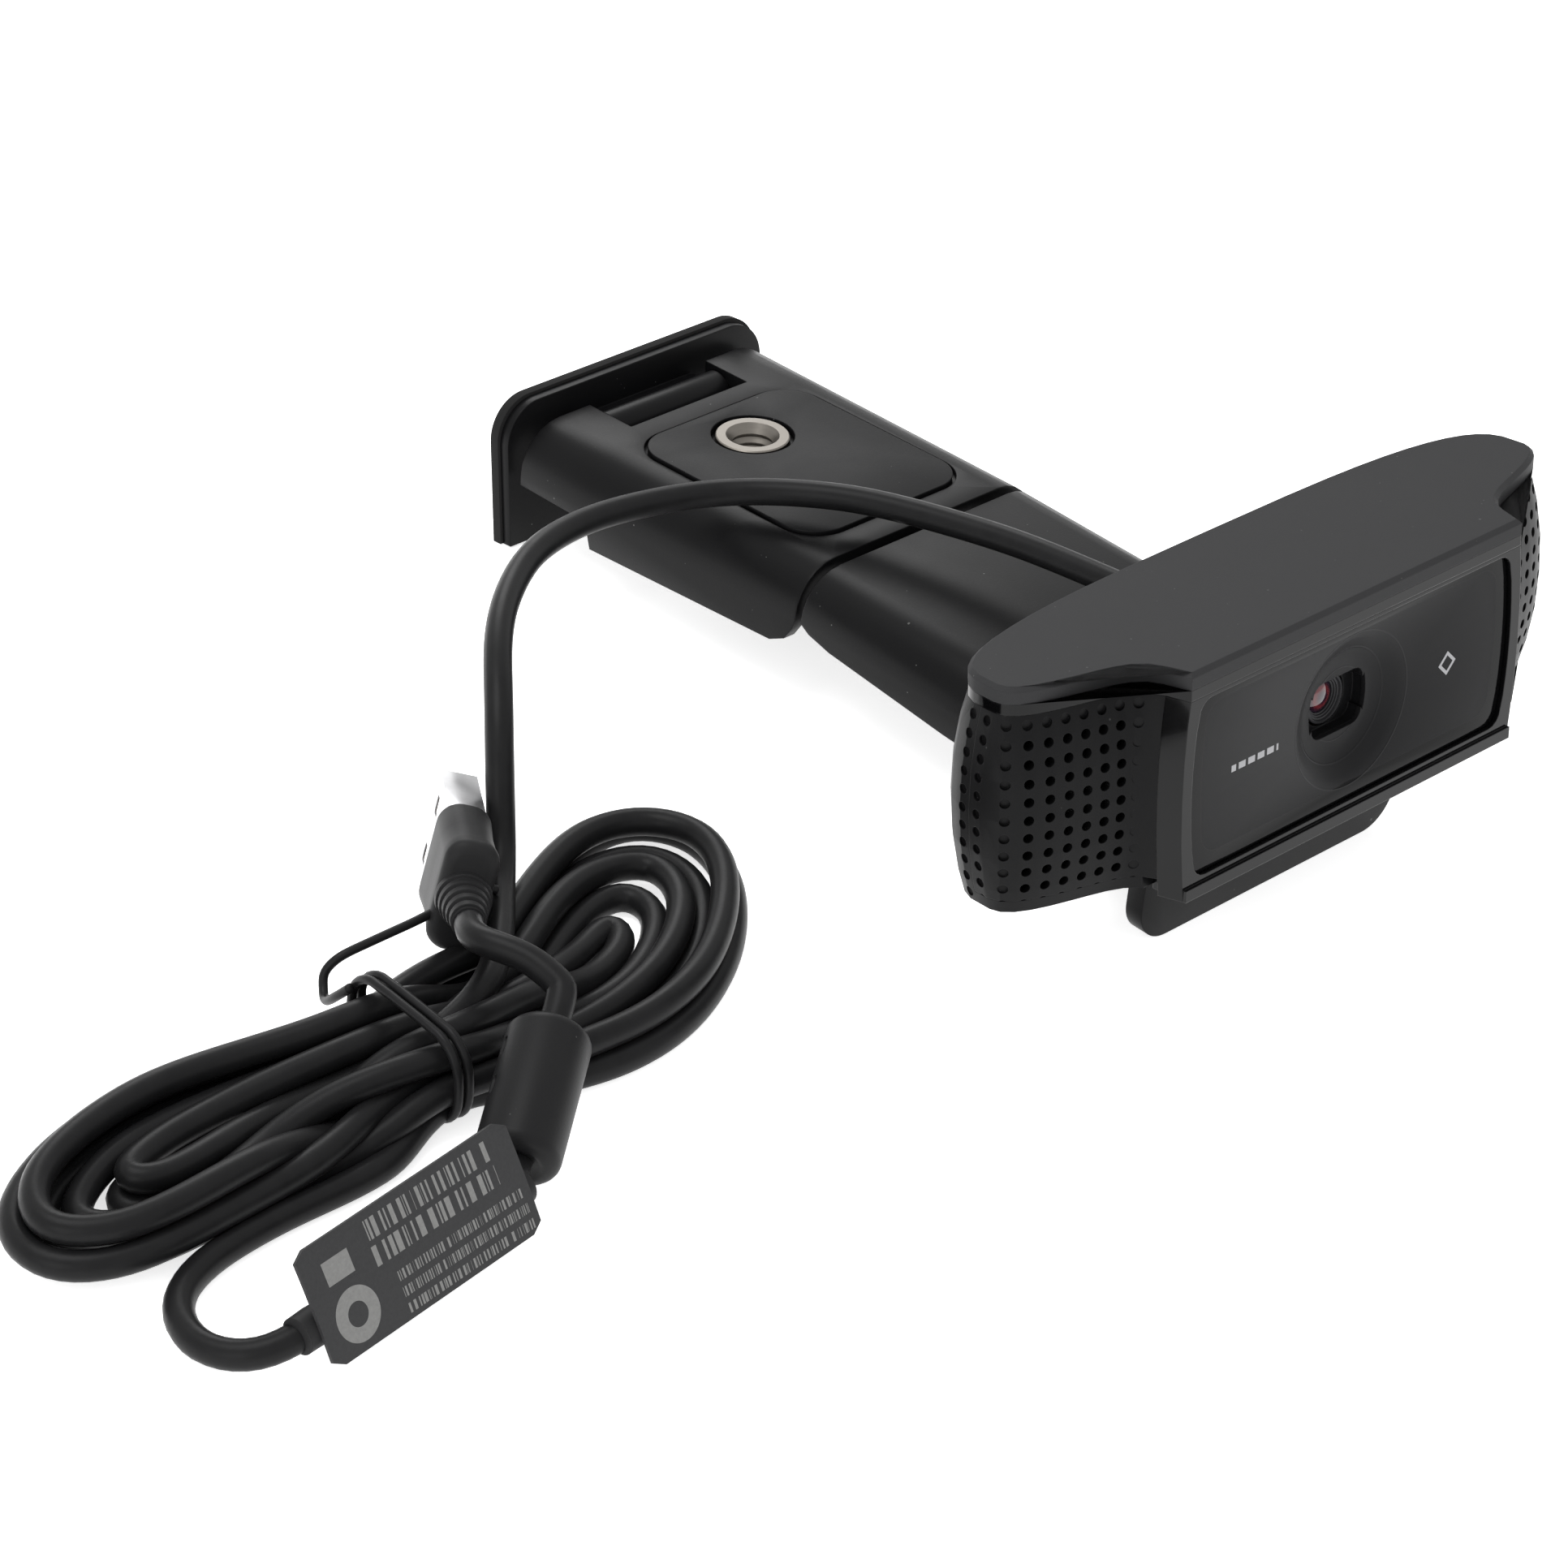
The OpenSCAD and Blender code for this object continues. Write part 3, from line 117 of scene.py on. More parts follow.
# The cord's route, from the head to the plug: over the floor side, six turns in the tied bundle,
# round the label and the bead, and back to the plug
ROUTE = [
    (0.0, -27.8, 27.8), (-0.2, -20.8, 27.1), (-0.7, -13.9, 26.5), (-1.6, -7.0, 25.9),
    (-3.0, -0.1, 25.2), (-4.9, 6.6, 24.6), (-7.4, 13.1, 24.0), (-11.0, 19.1, 23.2),
    (-15.7, 24.2, 22.6), (-21.7, 27.6, 22.4), (-28.6, 29.1, 22.7), (-35.5, 29.5, 23.2),
    (-42.4, 28.5, 23.7), (-49.0, 26.2, 24.1), (-55.0, 22.5, 24.2), (-60.5, 18.2, 24.1),
    (-65.4, 13.3, 23.4), (-69.6, 8.1, 21.4), (-72.9, 3.9, 17.6), (-75.0, 0.9, 12.6),
    (-77.0, -1.9, 8.3), (-80.6, -6.0, 6.6), (-85.2, -11.2, 7.4), (-90.0, -16.2, 8.0),
    (-95.0, -20.4, 8.2), (-101.5, -22.5, 7.1), (-108.3, -22.6, 5.5), (-115.1, -21.4, 4.4),
    (-122.0, -20.6, 3.9), (-129.0, -21.1, 4.3), (-135.8, -22.4, 4.9), (-142.8, -23.1, 5.0),
    (-145.4, -20.1, 5.0), (-138.8, -18.0, 5.0), (-131.8, -17.5, 5.1), (-124.9, -18.1, 6.0),
    (-118.0, -19.3, 7.0), (-111.1, -20.2, 7.5), (-104.2, -20.0, 6.5), (-97.4, -20.7, 5.2),
    (-90.4, -20.6, 4.7), (-83.7, -19.0, 3.8), (-77.4, -16.5, 2.1), (-71.0, -13.8, 1.7),
    (-71.3, -17.3, 1.7), (-77.5, -20.4, 1.9), (-84.0, -22.4, 3.6), (-90.3, -23.5, 6.5),
    (-97.0, -24.7, 7.8), (-103.9, -25.2, 8.3), (-110.8, -24.2, 7.8), (-117.3, -23.8, 5.2),
    (-123.7, -23.4, 2.4), (-130.6, -23.3, 1.7), (-137.6, -23.6, 1.7), (-144.6, -23.5, 1.7),
    (-146.1, -19.8, 1.7), (-139.5, -17.8, 1.7), (-132.5, -17.4, 1.7), (-125.5, -17.7, 1.7),
    (-118.5, -18.4, 1.7), (-111.7, -20.0, 2.2), (-104.8, -21.0, 2.4), (-97.9, -21.0, 1.8),
    (-91.0, -19.6, 1.7), (-84.6, -16.8, 1.7), (-78.5, -13.4, 1.7), (-72.1, -10.6, 1.7),
    (-65.2, -9.9, 1.7), (-64.6, -15.3, 1.7), (-69.6, -20.2, 1.7), (-75.8, -23.5, 1.7),
    (-82.6, -24.8, 1.7), (-89.4, -24.1, 2.7), (-95.5, -26.5, 5.2), (-101.7, -28.6, 7.4),
    (-108.6, -28.2, 8.5), (-115.4, -26.7, 8.1), (-121.9, -24.7, 6.5), (-128.6, -24.6, 4.8),
    (-135.4, -26.0, 4.1), (-142.4, -26.4, 3.8), (-149.3, -25.4, 3.3), (-152.5, -20.8, 2.8),
    (-146.8, -16.9, 3.5), (-140.1, -14.9, 3.6), (-133.1, -14.4, 3.4), (-126.2, -15.0, 3.7),
    (-119.4, -16.4, 4.4), (-112.5, -17.9, 4.7), (-105.6, -18.2, 4.0), (-98.7, -18.0, 3.3),
    (-91.8, -17.4, 4.3), (-85.3, -15.0, 4.7), (-79.2, -11.5, 4.6), (-72.8, -8.6, 4.4),
    (-66.1, -7.0, 3.6), (-59.6, -8.8, 3.0), (-61.1, -15.3, 3.6), (-65.7, -20.5, 4.0),
    (-71.6, -24.4, 3.9), (-78.1, -26.9, 3.8), (-85.0, -27.7, 3.1), (-91.7, -26.4, 2.0),
    (-98.5, -24.8, 1.8), (-105.5, -24.5, 2.4), (-112.4, -24.9, 2.2), (-119.3, -26.2, 2.2),
    (-125.8, -27.2, 4.5), (-132.3, -28.4, 6.7), (-139.2, -29.3, 7.4), (-146.2, -29.5, 7.1),
    (-153.0, -28.2, 6.5), (-157.9, -23.6, 6.2), (-155.2, -17.6, 6.4), (-149.1, -14.2, 6.6),
    (-142.4, -12.3, 6.6), (-135.5, -11.4, 6.6), (-128.5, -12.0, 6.6), (-121.7, -13.7, 7.0),
    (-115.1, -15.8, 7.9), (-108.2, -16.8, 8.4), (-101.7, -16.0, 6.2), (-95.6, -15.4, 2.9),
    (-88.8, -15.1, 1.7), (-82.6, -11.8, 1.7), (-76.5, -8.3, 1.7), (-70.2, -5.4, 1.7),
    (-63.3, -4.1, 1.7), (-57.1, -6.7, 1.7), (-56.8, -13.4, 1.7), (-60.6, -19.2, 1.7),
    (-65.9, -23.8, 1.7), (-72.0, -27.3, 1.7), (-78.5, -29.7, 1.7), (-85.5, -30.5, 1.7),
    (-92.4, -29.6, 1.8), (-98.9, -27.6, 3.1), (-105.5, -26.4, 5.1), (-112.5, -26.6, 5.1),
    (-119.3, -28.1, 5.1), (-125.9, -30.2, 4.9), (-132.9, -30.6, 4.3), (-139.9, -30.9, 4.3),
    (-146.9, -31.2, 4.1), (-153.8, -30.0, 3.6), (-159.2, -25.9, 3.4), (-159.1, -19.2, 3.4),
    (-154.2, -14.4, 3.6), (-147.8, -11.5, 3.9), (-141.0, -9.8, 3.9), (-134.1, -9.2, 4.0),
    (-127.1, -9.9, 4.2), (-120.4, -11.8, 4.4), (-113.8, -14.1, 5.1), (-106.9, -14.6, 5.6),
    (-100.3, -12.5, 5.1), (-93.4, -11.9, 5.1), (-87.1, -12.0, 4.8), (-81.0, -8.6, 4.7),
    (-74.8, -5.3, 4.6), (-68.4, -2.5, 4.6), (-61.6, -1.0, 4.4), (-55.0, -2.8, 4.1),
    (-52.3, -8.9, 4.6), (-54.6, -15.5, 4.8), (-59.0, -20.8, 4.8), (-64.3, -25.4, 4.8),
    (-70.2, -29.2, 4.8), (-76.8, -31.6, 4.7), (-83.7, -32.4, 4.5), (-90.7, -32.1, 4.7),
    (-97.7, -31.5, 4.9), (-104.6, -30.3, 5.2), (-111.5, -29.9, 5.4), (-118.2, -30.2, 3.4),
    (-125.0, -29.4, 1.9), (-131.9, -28.5, 1.7), (-138.9, -28.8, 1.7), (-145.9, -29.0, 1.7),
    (-152.7, -27.5, 1.7), (-157.0, -22.6, 1.7), (-153.3, -17.0, 1.7), (-147.1, -13.8, 1.7),
    (-140.3, -12.1, 1.7), (-133.3, -11.5, 1.7), (-126.3, -12.2, 1.7), (-119.6, -14.0, 1.7),
    (-112.8, -15.6, 2.1), (-105.9, -15.2, 2.4), (-99.3, -13.0, 1.7), (-93.1, -11.1, 1.7),
    (-87.1, -10.8, 1.7), (-81.0, -7.4, 1.7), (-74.7, -4.2, 1.7), (-68.2, -1.6, 1.7),
    (-61.5, 0.3, 1.7), (-54.6, -0.1, 1.7), (-50.7, -5.4, 1.7), (-51.6, -12.3, 1.7),
    (-55.2, -18.3, 1.7), (-60.0, -23.4, 1.7), (-65.5, -27.7, 1.7), (-71.6, -31.1, 1.7),
    (-78.2, -33.4, 1.7), (-85.1, -34.2, 1.7), (-92.1, -33.2, 1.7), (-98.7, -30.9, 1.8),
    (-105.2, -28.6, 2.5), (-112.0, -29.4, 2.3), (-118.2, -32.4, 1.7), (-125.2, -32.9, 1.7),
    (-132.2, -32.6, 1.7), (-139.2, -32.9, 1.7), (-146.1, -34.0, 1.7), (-152.0, -37.5, 1.7),
    (-154.0, -44.0, 1.7), (-150.8, -49.8, 2.7), (-144.2, -50.8, 4.2), (-137.2, -50.1, 4.6),
    (-130.3, -49.3, 4.9), (-123.3, -48.7, 5.2), (-116.4, -47.5, 5.4), (-110.7, -43.6, 6.0),
    (-105.4, -39.6, 8.1), (-100.1, -35.6, 10.4), (-94.7, -32.0, 13.0), (-94.4, -30.6, 13.7),
    (-95.0, -26.6, 14.9), (-96.9, -22.6, 15.2), (-96.9, -19.3, 14.6), (-94.6, -16.2, 13.6),
]


# ---- Sizes and colours a user would change ----


def colour_property(name, description, default):
    """A colour swatch with three parts."""
    return FloatVectorProperty(
        name=name, description=description, default=default, subtype="COLOR", size=3, min=0, max=1
    )


class ClipcamCordSizes(bpy.types.PropertyGroup):
    """Sizes of the cord and what it carries."""

    diameter: FloatProperty(
        name="Cord diameter", description="Thickness of the cord", default=CORD_D * MM, unit="LENGTH"
    )
    wire: FloatProperty(
        name="Tie wire",
        description="Thickness of the tie's coated wire",
        default=WIRE_D * MM,
        unit="LENGTH",
    )
    sides: IntProperty(name="Sides", description="Faces round the cord", default=16, min=8, max=32)


class ClipcamColours(bpy.types.PropertyGroup):
    """Base colours of the finishes."""

    cover: colour_property("Top cover", "Matte lid of the head", (0.026, 0.026, 0.027))
    pod: colour_property("Grilles and shell", "Satin plastic of the head", (0.0035, 0.0035, 0.0038))
    stand: colour_property("Stand", "Satin plastic of the clip", (0.0035, 0.0035, 0.0038))
    gloss: colour_property("Gloss trim", "Polished black frame", (0.0015, 0.0015, 0.0017))
    window: colour_property("Window", "Matte grey screen of the window", (0.008, 0.008, 0.0086))
    cord: colour_property("Cord", "Jacket of the cord", (0.009, 0.009, 0.0094))
    label: colour_property("Label", "Ground of the paper label", (0.032, 0.032, 0.033))
    print: colour_property("Print", "Pale blocks on the label", (0.2, 0.2, 0.195))
    mould: colour_property("Plug grip", "Moulded grip of the plug", (0.014, 0.014, 0.0145))


class ClipcamStudio(bpy.types.PropertyGroup):
    """Camera and light settings."""

    lens: FloatProperty(name="Focal length", description="Camera lens in millimetres", default=115.25)
    key_power: FloatProperty(name="Key light", description="Power of the large soft light", default=2.8)
    rim_power: FloatProperty(name="Back light", description="Power of the light behind", default=1.5)
    fill_power: FloatProperty(name="Fill light", description="Power of the side light", default=1.0)
    sky: FloatProperty(name="Surround", description="Brightness of the white surround", default=1.0)


# ---- Shader sums ----


class Wire:
    """A shader socket that takes part in Python sums; each sum adds a Math node."""

    def __init__(self, finish, socket):
        self.finish = finish
        self.socket = socket

    def math(self, operation, *values):
        sockets = dict(enumerate((self, *values)))
        return self.finish.node("ShaderNodeMath", {"operation": operation}, sockets)

    def __add__(self, other):
        return self.math("ADD", other)

    __radd__ = __add__

    def __mul__(self, other):
        return self.math("MULTIPLY", other)

    __rmul__ = __mul__

    def __sub__(self, other):
        return self.math("SUBTRACT", other)

    def __rsub__(self, other):
        return self.finish.node("ShaderNodeMath", {"operation": "SUBTRACT"}, {0: other, 1: self})

    def __truediv__(self, other):
        return self.math("DIVIDE", other)

    def __abs__(self):
        return self.math("ABSOLUTE")

    def __gt__(self, other):
        return self.math("GREATER_THAN", other)

    def __lt__(self, other):
        return self.math("LESS_THAN", other)

    def above_zero(self):
        return self.math("MAXIMUM", 0.0)

    def root(self):
        return self.math("SQRT")

    def wrapped(self):
        return self.math("FRACT")

    def kept(self):
        """The value held between 0 and 1."""
        return self.finish.node(
            "ShaderNodeMath", {"operation": "ADD", "use_clamp": True}, {0: self, 1: 0.0}
        )


DIM_GLOSS = 0.1


class Finish:
    """One material: a Principled surface and the nodes that feed it."""

    def __init__(self, name, colour, roughness, **fixed):
        self.material = bpy.data.materials.new(name)
        self.material.use_nodes = True
        self.material.diffuse_color = (*colour, 1)
        self.tree = self.material.node_tree
        self.surface = self.tree.nodes["Principled BSDF"]
        self.set("Base Color", (*colour, 1))
        self.set("Roughness", roughness)
        self.set("Specular IOR Level", DIM_GLOSS)
        for socket, value in fixed.items():
            self.set(socket.replace("_", " "), value)

    def set(self, socket, value):
        """A fixed value or a link on the surface itself."""
        if isinstance(value, Wire):
            self.tree.links.new(value.socket, self.surface.inputs[socket])
        else:
            self.surface.inputs[socket].default_value = value

    def node(self, kind, settings=None, sockets=None, out=0):
        """Any node: its settings first, then the values or links of its sockets."""
        node = self.tree.nodes.new(kind)
        for key, value in (settings or {}).items():
            setattr(node, key, value)
        for key, value in (sockets or {}).items():
            if isinstance(value, Wire):
                self.tree.links.new(value.socket, node.inputs[key])
            else:
                node.inputs[key].default_value = value
        return Wire(self, node.outputs[out])

    def place(self, frame=PART):
        """The point being shaded, in millimetres in one of the part's frames."""
        where = self.node("ShaderNodeTexCoord", out="Object")
        move, turn, _ = frame.decompose()
        sockets = {
            "Vector": where,
            "Location": tuple(move * MM),
            "Rotation": tuple(turn.to_euler()),
            "Scale": (MM, MM, MM),
        }
        return self.node("ShaderNodeMapping", {"vector_type": "TEXTURE"}, sockets)

    def split(self, vector):
        """The three numbers of a vector."""
        node = self.node("ShaderNodeSeparateXYZ", sockets={0: vector}).socket.node
        return [Wire(self, socket) for socket in node.outputs]

    def noise(self, vector, scale, detail=2.0, rough=0.5):
        sockets = {"Vector": vector, "Scale": scale, "Detail": detail, "Roughness": rough}
        return self.node("ShaderNodeTexNoise", sockets=sockets)

    def ramp(self, value, stops):
        """A value remapped through black-to-white stops, each (place, grey)."""
        wire = self.node("ShaderNodeValToRGB", sockets={0: value})
        ramp = wire.socket.node.color_ramp
        while len(ramp.elements) < len(stops):
            ramp.elements.new(0.5)
        for element, (at, grey) in zip(ramp.elements, stops):
            element.position = at
            element.color = (grey, grey, grey, 1)
        return wire

    def mixed(self, mask, low, high):
        """A colour between two others."""
        sockets = {0: mask, 6: (*low, 1) if len(low) == 3 else low, 7: (*high, 1)}
        return self.node("ShaderNodeMix", {"data_type": "RGBA"}, sockets, out=2)

    def bump(self, height, strength, distance_mm, edge_mm=0.0):
        """Surface relief; edge_mm also softens the piece's sharp edges."""
        sockets = {"Height": height, "Strength": strength, "Distance": distance_mm * MM}
        if edge_mm:
            soft = self.node("ShaderNodeBevel", {"samples": 6}, {"Radius": edge_mm * MM})
            sockets["Normal"] = soft
        self.set("Normal", self.node("ShaderNodeBump", sockets=sockets))


def shade(colour, factor):
    """A colour made darker or paler, kept below 1."""
    return tuple(min(1.0, part * factor) for part in colour)


def moulded_plastic(name, colour, roughness, grain=5.0, relief=0.35, dust=0.0, edge_mm=0.22, **fixed):
    """Textured moulding: fine grain, slow change of sheen, and a few specks of dust."""
    finish = Finish(name, colour, roughness, **fixed)
    at = finish.place()
    fine = finish.noise(at, grain, 3.0, 0.6)
    slow = finish.noise(at, 0.12, 2.0, 0.5)
    finish.set("Roughness", slow * 0.1 + fine * 0.08 + (roughness - 0.09))
    tone = (slow - 0.5) * 0.5 + (fine - 0.5) * 0.5 + 0.5
    mottled = finish.mixed(tone.kept(), shade(colour, 0.82), shade(colour, 1.18))
    if dust:
        cells = finish.node(
            "ShaderNodeTexVoronoi", sockets={"Vector": at, "Scale": 0.8, "Randomness": 1.0}
        )
        speck = (finish.noise(at, 0.9, 1.0) - 0.52) * 0.5
        spot = (speck.above_zero() * 1.1 - cells) > 0.0
        sockets = {0: spot * dust, 6: mottled, 7: (0.09, 0.09, 0.088, 1)}
        mottled = finish.node("ShaderNodeMix", {"data_type": "RGBA"}, sockets, out=2)
    finish.set("Base Color", mottled)
    finish.bump(fine, relief, 0.03, edge_mm)
    return finish.material


def polished_plastic(name, colour, roughness=0.07, edge_mm=0.2):
    """Gloss black: near-mirror, with faint wiping marks in its sheen."""
    finish = Finish(name, colour, roughness, Coat_Weight=0.2, Coat_Roughness=0.04)
    at = finish.place()
    wiped = finish.noise(at, 0.25, 4.0, 0.55)
    finish.set("Roughness", wiped * 0.1 + (roughness - 0.03))
    finish.set("Base Color", finish.mixed(wiped, shade(colour, 0.8), shade(colour, 1.3)))
    finish.bump(finish.noise(at, 0.5, 1.0), 0.05, 0.02, edge_mm)
    return finish.material


def turned_metal(name, colour, roughness, frame=PART, lines=9.0, edge_mm=0.12):
    """Metal with fine tool lines and small changes of tone."""
    finish = Finish(name, colour, roughness, Metallic=1.0)
    x, y, z = finish.split(finish.place(frame))
    sockets = {0: x * 0.3, 1: y * 0.3, 2: z * lines}
    drawn = finish.noise(finish.node("ShaderNodeCombineXYZ", sockets=sockets), 1.0, 3.0, 0.6)
    finish.set("Roughness", drawn * 0.22 + (roughness - 0.1))
    finish.set("Base Color", finish.mixed(drawn, shade(colour, 0.72), shade(colour, 1.12)))
    finish.bump(drawn, 0.12, 0.02, edge_mm)
    return finish.material


def cord_jacket(name, colour):
    """Soft vinyl: satin with a faint drag texture and scuffs."""
    finish = Finish(name, colour, 0.36)
    at = finish.place()
    fine = finish.noise(at, 3.0, 3.0, 0.6)
    scuff = finish.noise(at, 0.35, 3.0, 0.6)
    finish.set("Roughness", scuff * 0.16 + fine * 0.08 + 0.25)
    finish.set("Base Color", finish.mixed(scuff, shade(colour, 0.75), shade(colour, 1.3)))
    finish.bump(fine, 0.22, 0.04)
    return finish.material


def window_film(name, colour, gloss):
    """Gloss border round a matte grey field, with fine rings about the lens and two wide arcs."""
    finish = Finish(name, colour, 0.4)
    x, y, z = finish.split(finish.place(HEAD))
    half_w, half_h, corner = 25.2, 9.7, 2.4
    up = z - LENS_Z - 0.25
    bow = (1 - up * up * 0.0106) * 0.7
    side = (abs(x) - bow - (half_w - corner)).above_zero()
    high = (abs(up) - (half_h - corner)).above_zero()
    inside = ((corner - (side * side + high * high).root()) * 6 + 0.5).kept()
    from_lens = z - LENS_Z
    radius = (x * x + from_lens * from_lens).root()
    ring = None
    for at in (4.6, 7.2, 9.8):
        line = (1 - abs(radius - at) * 7).above_zero()
        ring = line if ring is None else ring + line
    arc = None
    for side_x in (-1, 1):
        across = x - side_x * 9.5
        away = (across * across + from_lens * from_lens).root()
        band = (1 - abs(away - 15.5) * 0.9).above_zero() * 0.35
        arc = band if arc is None else arc + band
    fine = finish.noise(finish.place(HEAD), 6.0, 3.0, 0.6)
    tone = (fine * 0.3 + arc * 0.5 + 0.2).kept()
    field = finish.mixed(tone, shade(colour, 0.86), shade(colour, 1.25))
    sockets = {0: inside, 6: (*gloss, 1), 7: field}
    whole = finish.node("ShaderNodeMix", {"data_type": "RGBA"}, sockets, out=2)
    marks = window_marks(finish, x, from_lens)
    sockets = {0: marks, 6: whole, 7: (0.3, 0.3, 0.31, 1)}
    finish.set("Base Color", finish.node("ShaderNodeMix", {"data_type": "RGBA"}, sockets, out=2))
    finish.set("Roughness", inside * 0.38 + 0.08 - (ring * 0.15).kept())
    finish.bump(ring * 0.5 + fine * 0.06, 0.5, 0.12, 0.15)
    return finish.material


def window_marks(finish, x, up):
    """Two plain marks either side of the lens: a small diamond, and a row of short bars."""
    diamond = abs(abs(x - 17.2) + abs(up) - 1.3) < 0.28
    along = (x + 16.8) * 0.62
    bars = ((along.wrapped() - 0.5) > -0.22) * (abs(x + 16.8) < 4.0)
    return (diamond + bars * (abs(up) < 0.42)).kept()


def label_paper(name, ground, print_colour):
    """Dark paper with rows of pale blocks, a plain disc and bars: no letters."""
    finish = Finish(name, ground, 0.45)
    x, y, z = finish.split(finish.place(label_frame()))
    length = (LABEL_B - LABEL_A).length
    along = z / length
    across = (x + LABEL_BELOW) / LABEL_FLAG
    ink = None
    rows = ((0.36, 0.97, 0.09, 3.2), (0.36, 0.97, 0.23, 4.6), (0.36, 0.97, 0.37, 3.9))
    wide = ((0.3, 0.9, 0.62, 1.5), (0.3, 0.9, 0.84, 1.9))
    for low, high, at, pace in rows + wide:
        tall = 0.042 if at < 0.5 else 0.085
        sockets = {"W": along * length * pace * 0.8 + at * 37, "Scale": 1.0, "Detail": 1.0}
        dashes = finish.node("ShaderNodeTexNoise", {"noise_dimensions": "1D"}, sockets) > 0.52
        row = dashes * (abs(across - at) < tall) * (along > low) * (along < high)
        ink = row if ink is None else ink + row
    disc_x = (along - 0.16) * length / 3.0
    disc_y = (across - 0.3) * LABEL_FLAG / 3.0
    disc = (disc_x * disc_x + disc_y * disc_y).root()
    ink = ink + (abs(disc - 0.72) < 0.27)
    block = (abs(along - 0.15) < 0.06) * (abs(across - 0.72) < 0.1)
    ink = (ink + block).kept()
    fibre = finish.noise(finish.place(), 2.5, 4.0, 0.65)
    paper = finish.mixed(fibre, shade(ground, 0.8), shade(ground, 1.2))
    worn = ink * (fibre * 0.5 + 0.55).kept()
    sockets = {0: worn, 6: paper, 7: (*print_colour, 1)}
    finish.set("Base Color", finish.node("ShaderNodeMix", {"data_type": "RGBA"}, sockets, out=2))
    finish.set("Roughness", ink * 0.15 + fibre * 0.1 + 0.36)
    finish.bump(fibre, 0.15, 0.04)
    return finish.material


def lens_glass_painted_glint(name):
    """Dark lens glass with a painted glint: a violet centre and a warm rim painted into its colour by
    distance from the lens axis.
    """
    finish = Finish(name, (0.01, 0.008, 0.014), 0.03, Coat_Weight=1.0, Coat_Roughness=0.02, IOR=1.7)
    x, y, z = finish.split(finish.place(HEAD))
    up = z - LENS_Z
    radius = (x * x + up * up).root() / 2.0
    # Painted glint: the colour turns warm red in a ring round the lens axis, where the coating's
    # reflection would show.
    painted_glint_ring = finish.ramp(radius, ((0.0, 0.0), (0.35, 0.15), (0.62, 0.75), (0.8, 0.2), (1.0, 0.0)))
    finish.set("Base Color", finish.mixed(painted_glint_ring, (0.006, 0.005, 0.014), (0.16, 0.018, 0.02)))
    finish.bump(finish.noise(finish.place(), 0.3, 1.0), 0.02, 0.01)
    return finish.material


# ---- Mesh building ----


def curve_through(points, steps):
    """A smooth line through points, with steps pieces between each pair."""
    p = np.array(points, float)
    p = np.vstack([p[0], p, p[-1]])
    t = np.arange(steps)[:, None] / steps
    out = []
    for a, b, c, d in zip(p, p[1:], p[2:], p[3:]):
        bend = (2 * a - 5 * b + 4 * c - d) * t * t + (3 * b - 3 * c + d - a) * t**3
        out.append(0.5 * (2 * b + (c - a) * t + bend))
    return np.vstack([*out, p[-1]])


def relaxed(points, passes):
    """The same line with its small kinks evened out; the two ends stay."""
    p = np.array(points, float)
    for _ in range(passes):
        p[1:-1] = (p[:-2] + 2 * p[1:-1] + p[2:]) / 4
    return p


def new_piece(name, vertices, faces, frame=PART, smooth=True):
    """A mesh piece from millimetre points in one of the part's frames."""
    mesh = bpy.data.meshes.new(name)
    mesh.from_pydata([tuple(MM * (frame @ Vector(v))) for v in vertices], [], faces)
    mesh.polygons.foreach_set("use_smooth", [smooth] * len(mesh.polygons))
    mesh.validate()
    mesh.update()
    piece = bpy.data.objects.new(name, mesh)
    bpy.context.scene.collection.objects.link(piece)
    return piece


def skin(rings, closed=False):
    """Faces over rings of equal counts, with flat ends unless the rings close on themselves."""
    count = len(rings[0])
    vertices = [v for ring in rings for v in ring]
    faces = []
    last = len(rings) if closed else len(rings) - 1
    for k in range(last):
        low, high = k * count, (k + 1) % len(rings) * count
        for i in range(count):
            j = (i + 1) % count
            faces.append((low + i, low + j, high + j, high + i))
    if not closed:
        faces.append(tuple(range(count))[::-1])
        faces.append(tuple(range(len(vertices) - count, len(vertices))))
    return vertices, faces


def tube_rings(line, radius, sides, closed=False):
    """Rings square to a line, turned as little as possible from one to the next."""
    line = np.array(line, float)
    if closed:
        along = np.roll(line, -1, 0) - np.roll(line, 1, 0)
    else:
        along = np.gradient(line, axis=0)
    along /= np.linalg.norm(along, axis=1)[:, None]
    side = np.cross(along[0], (0, 0, 1) if abs(along[0][2]) < 0.8 else (1, 0, 0))
    angles = np.arange(sides) * 2 * math.pi / sides
    rings = []
    for at, way in zip(line, along):
        side = side - way * (side @ way)
        side /= np.linalg.norm(side)
        lift = np.cross(way, side)
        around = np.outer(np.cos(angles), side) + np.outer(np.sin(angles), lift)
        rings.append([tuple(v) for v in at + around * radius])
    return rings


def swept_tube(name, line, radius, sides, closed=False):
    """A round tube along a line in millimetres."""
    return new_piece(name, *skin(tube_rings(line, radius, sides, closed), closed))


def turned(name, profile, frame, sides=48, closed=False):
    """A piece turned about its frame's X axis from (distance, radius) pairs; closed ones have a bore."""
    angles = [2 * math.pi * k / sides for k in range(sides)]
    rings = [[(x, r * math.cos(a), r * math.sin(a)) for a in angles] for x, r in profile]
    return new_piece(name, *skin(rings, closed), frame)


def ribs(start, way, wide, taper, slope, groove):
    """Ridges of a cord sleeve, thinner one by one along way, as (distance, radius) pairs."""
    profile = []
    for k in range(RIBS):
        at = start + way * k * RIB_PITCH
        crest = wide - taper * k
        profile += [(at, crest), (at + way * 0.85, crest - slope)]
        profile += [(at + way * 0.95, crest - groove), (at + way * 1.35, crest - groove)]
    return profile


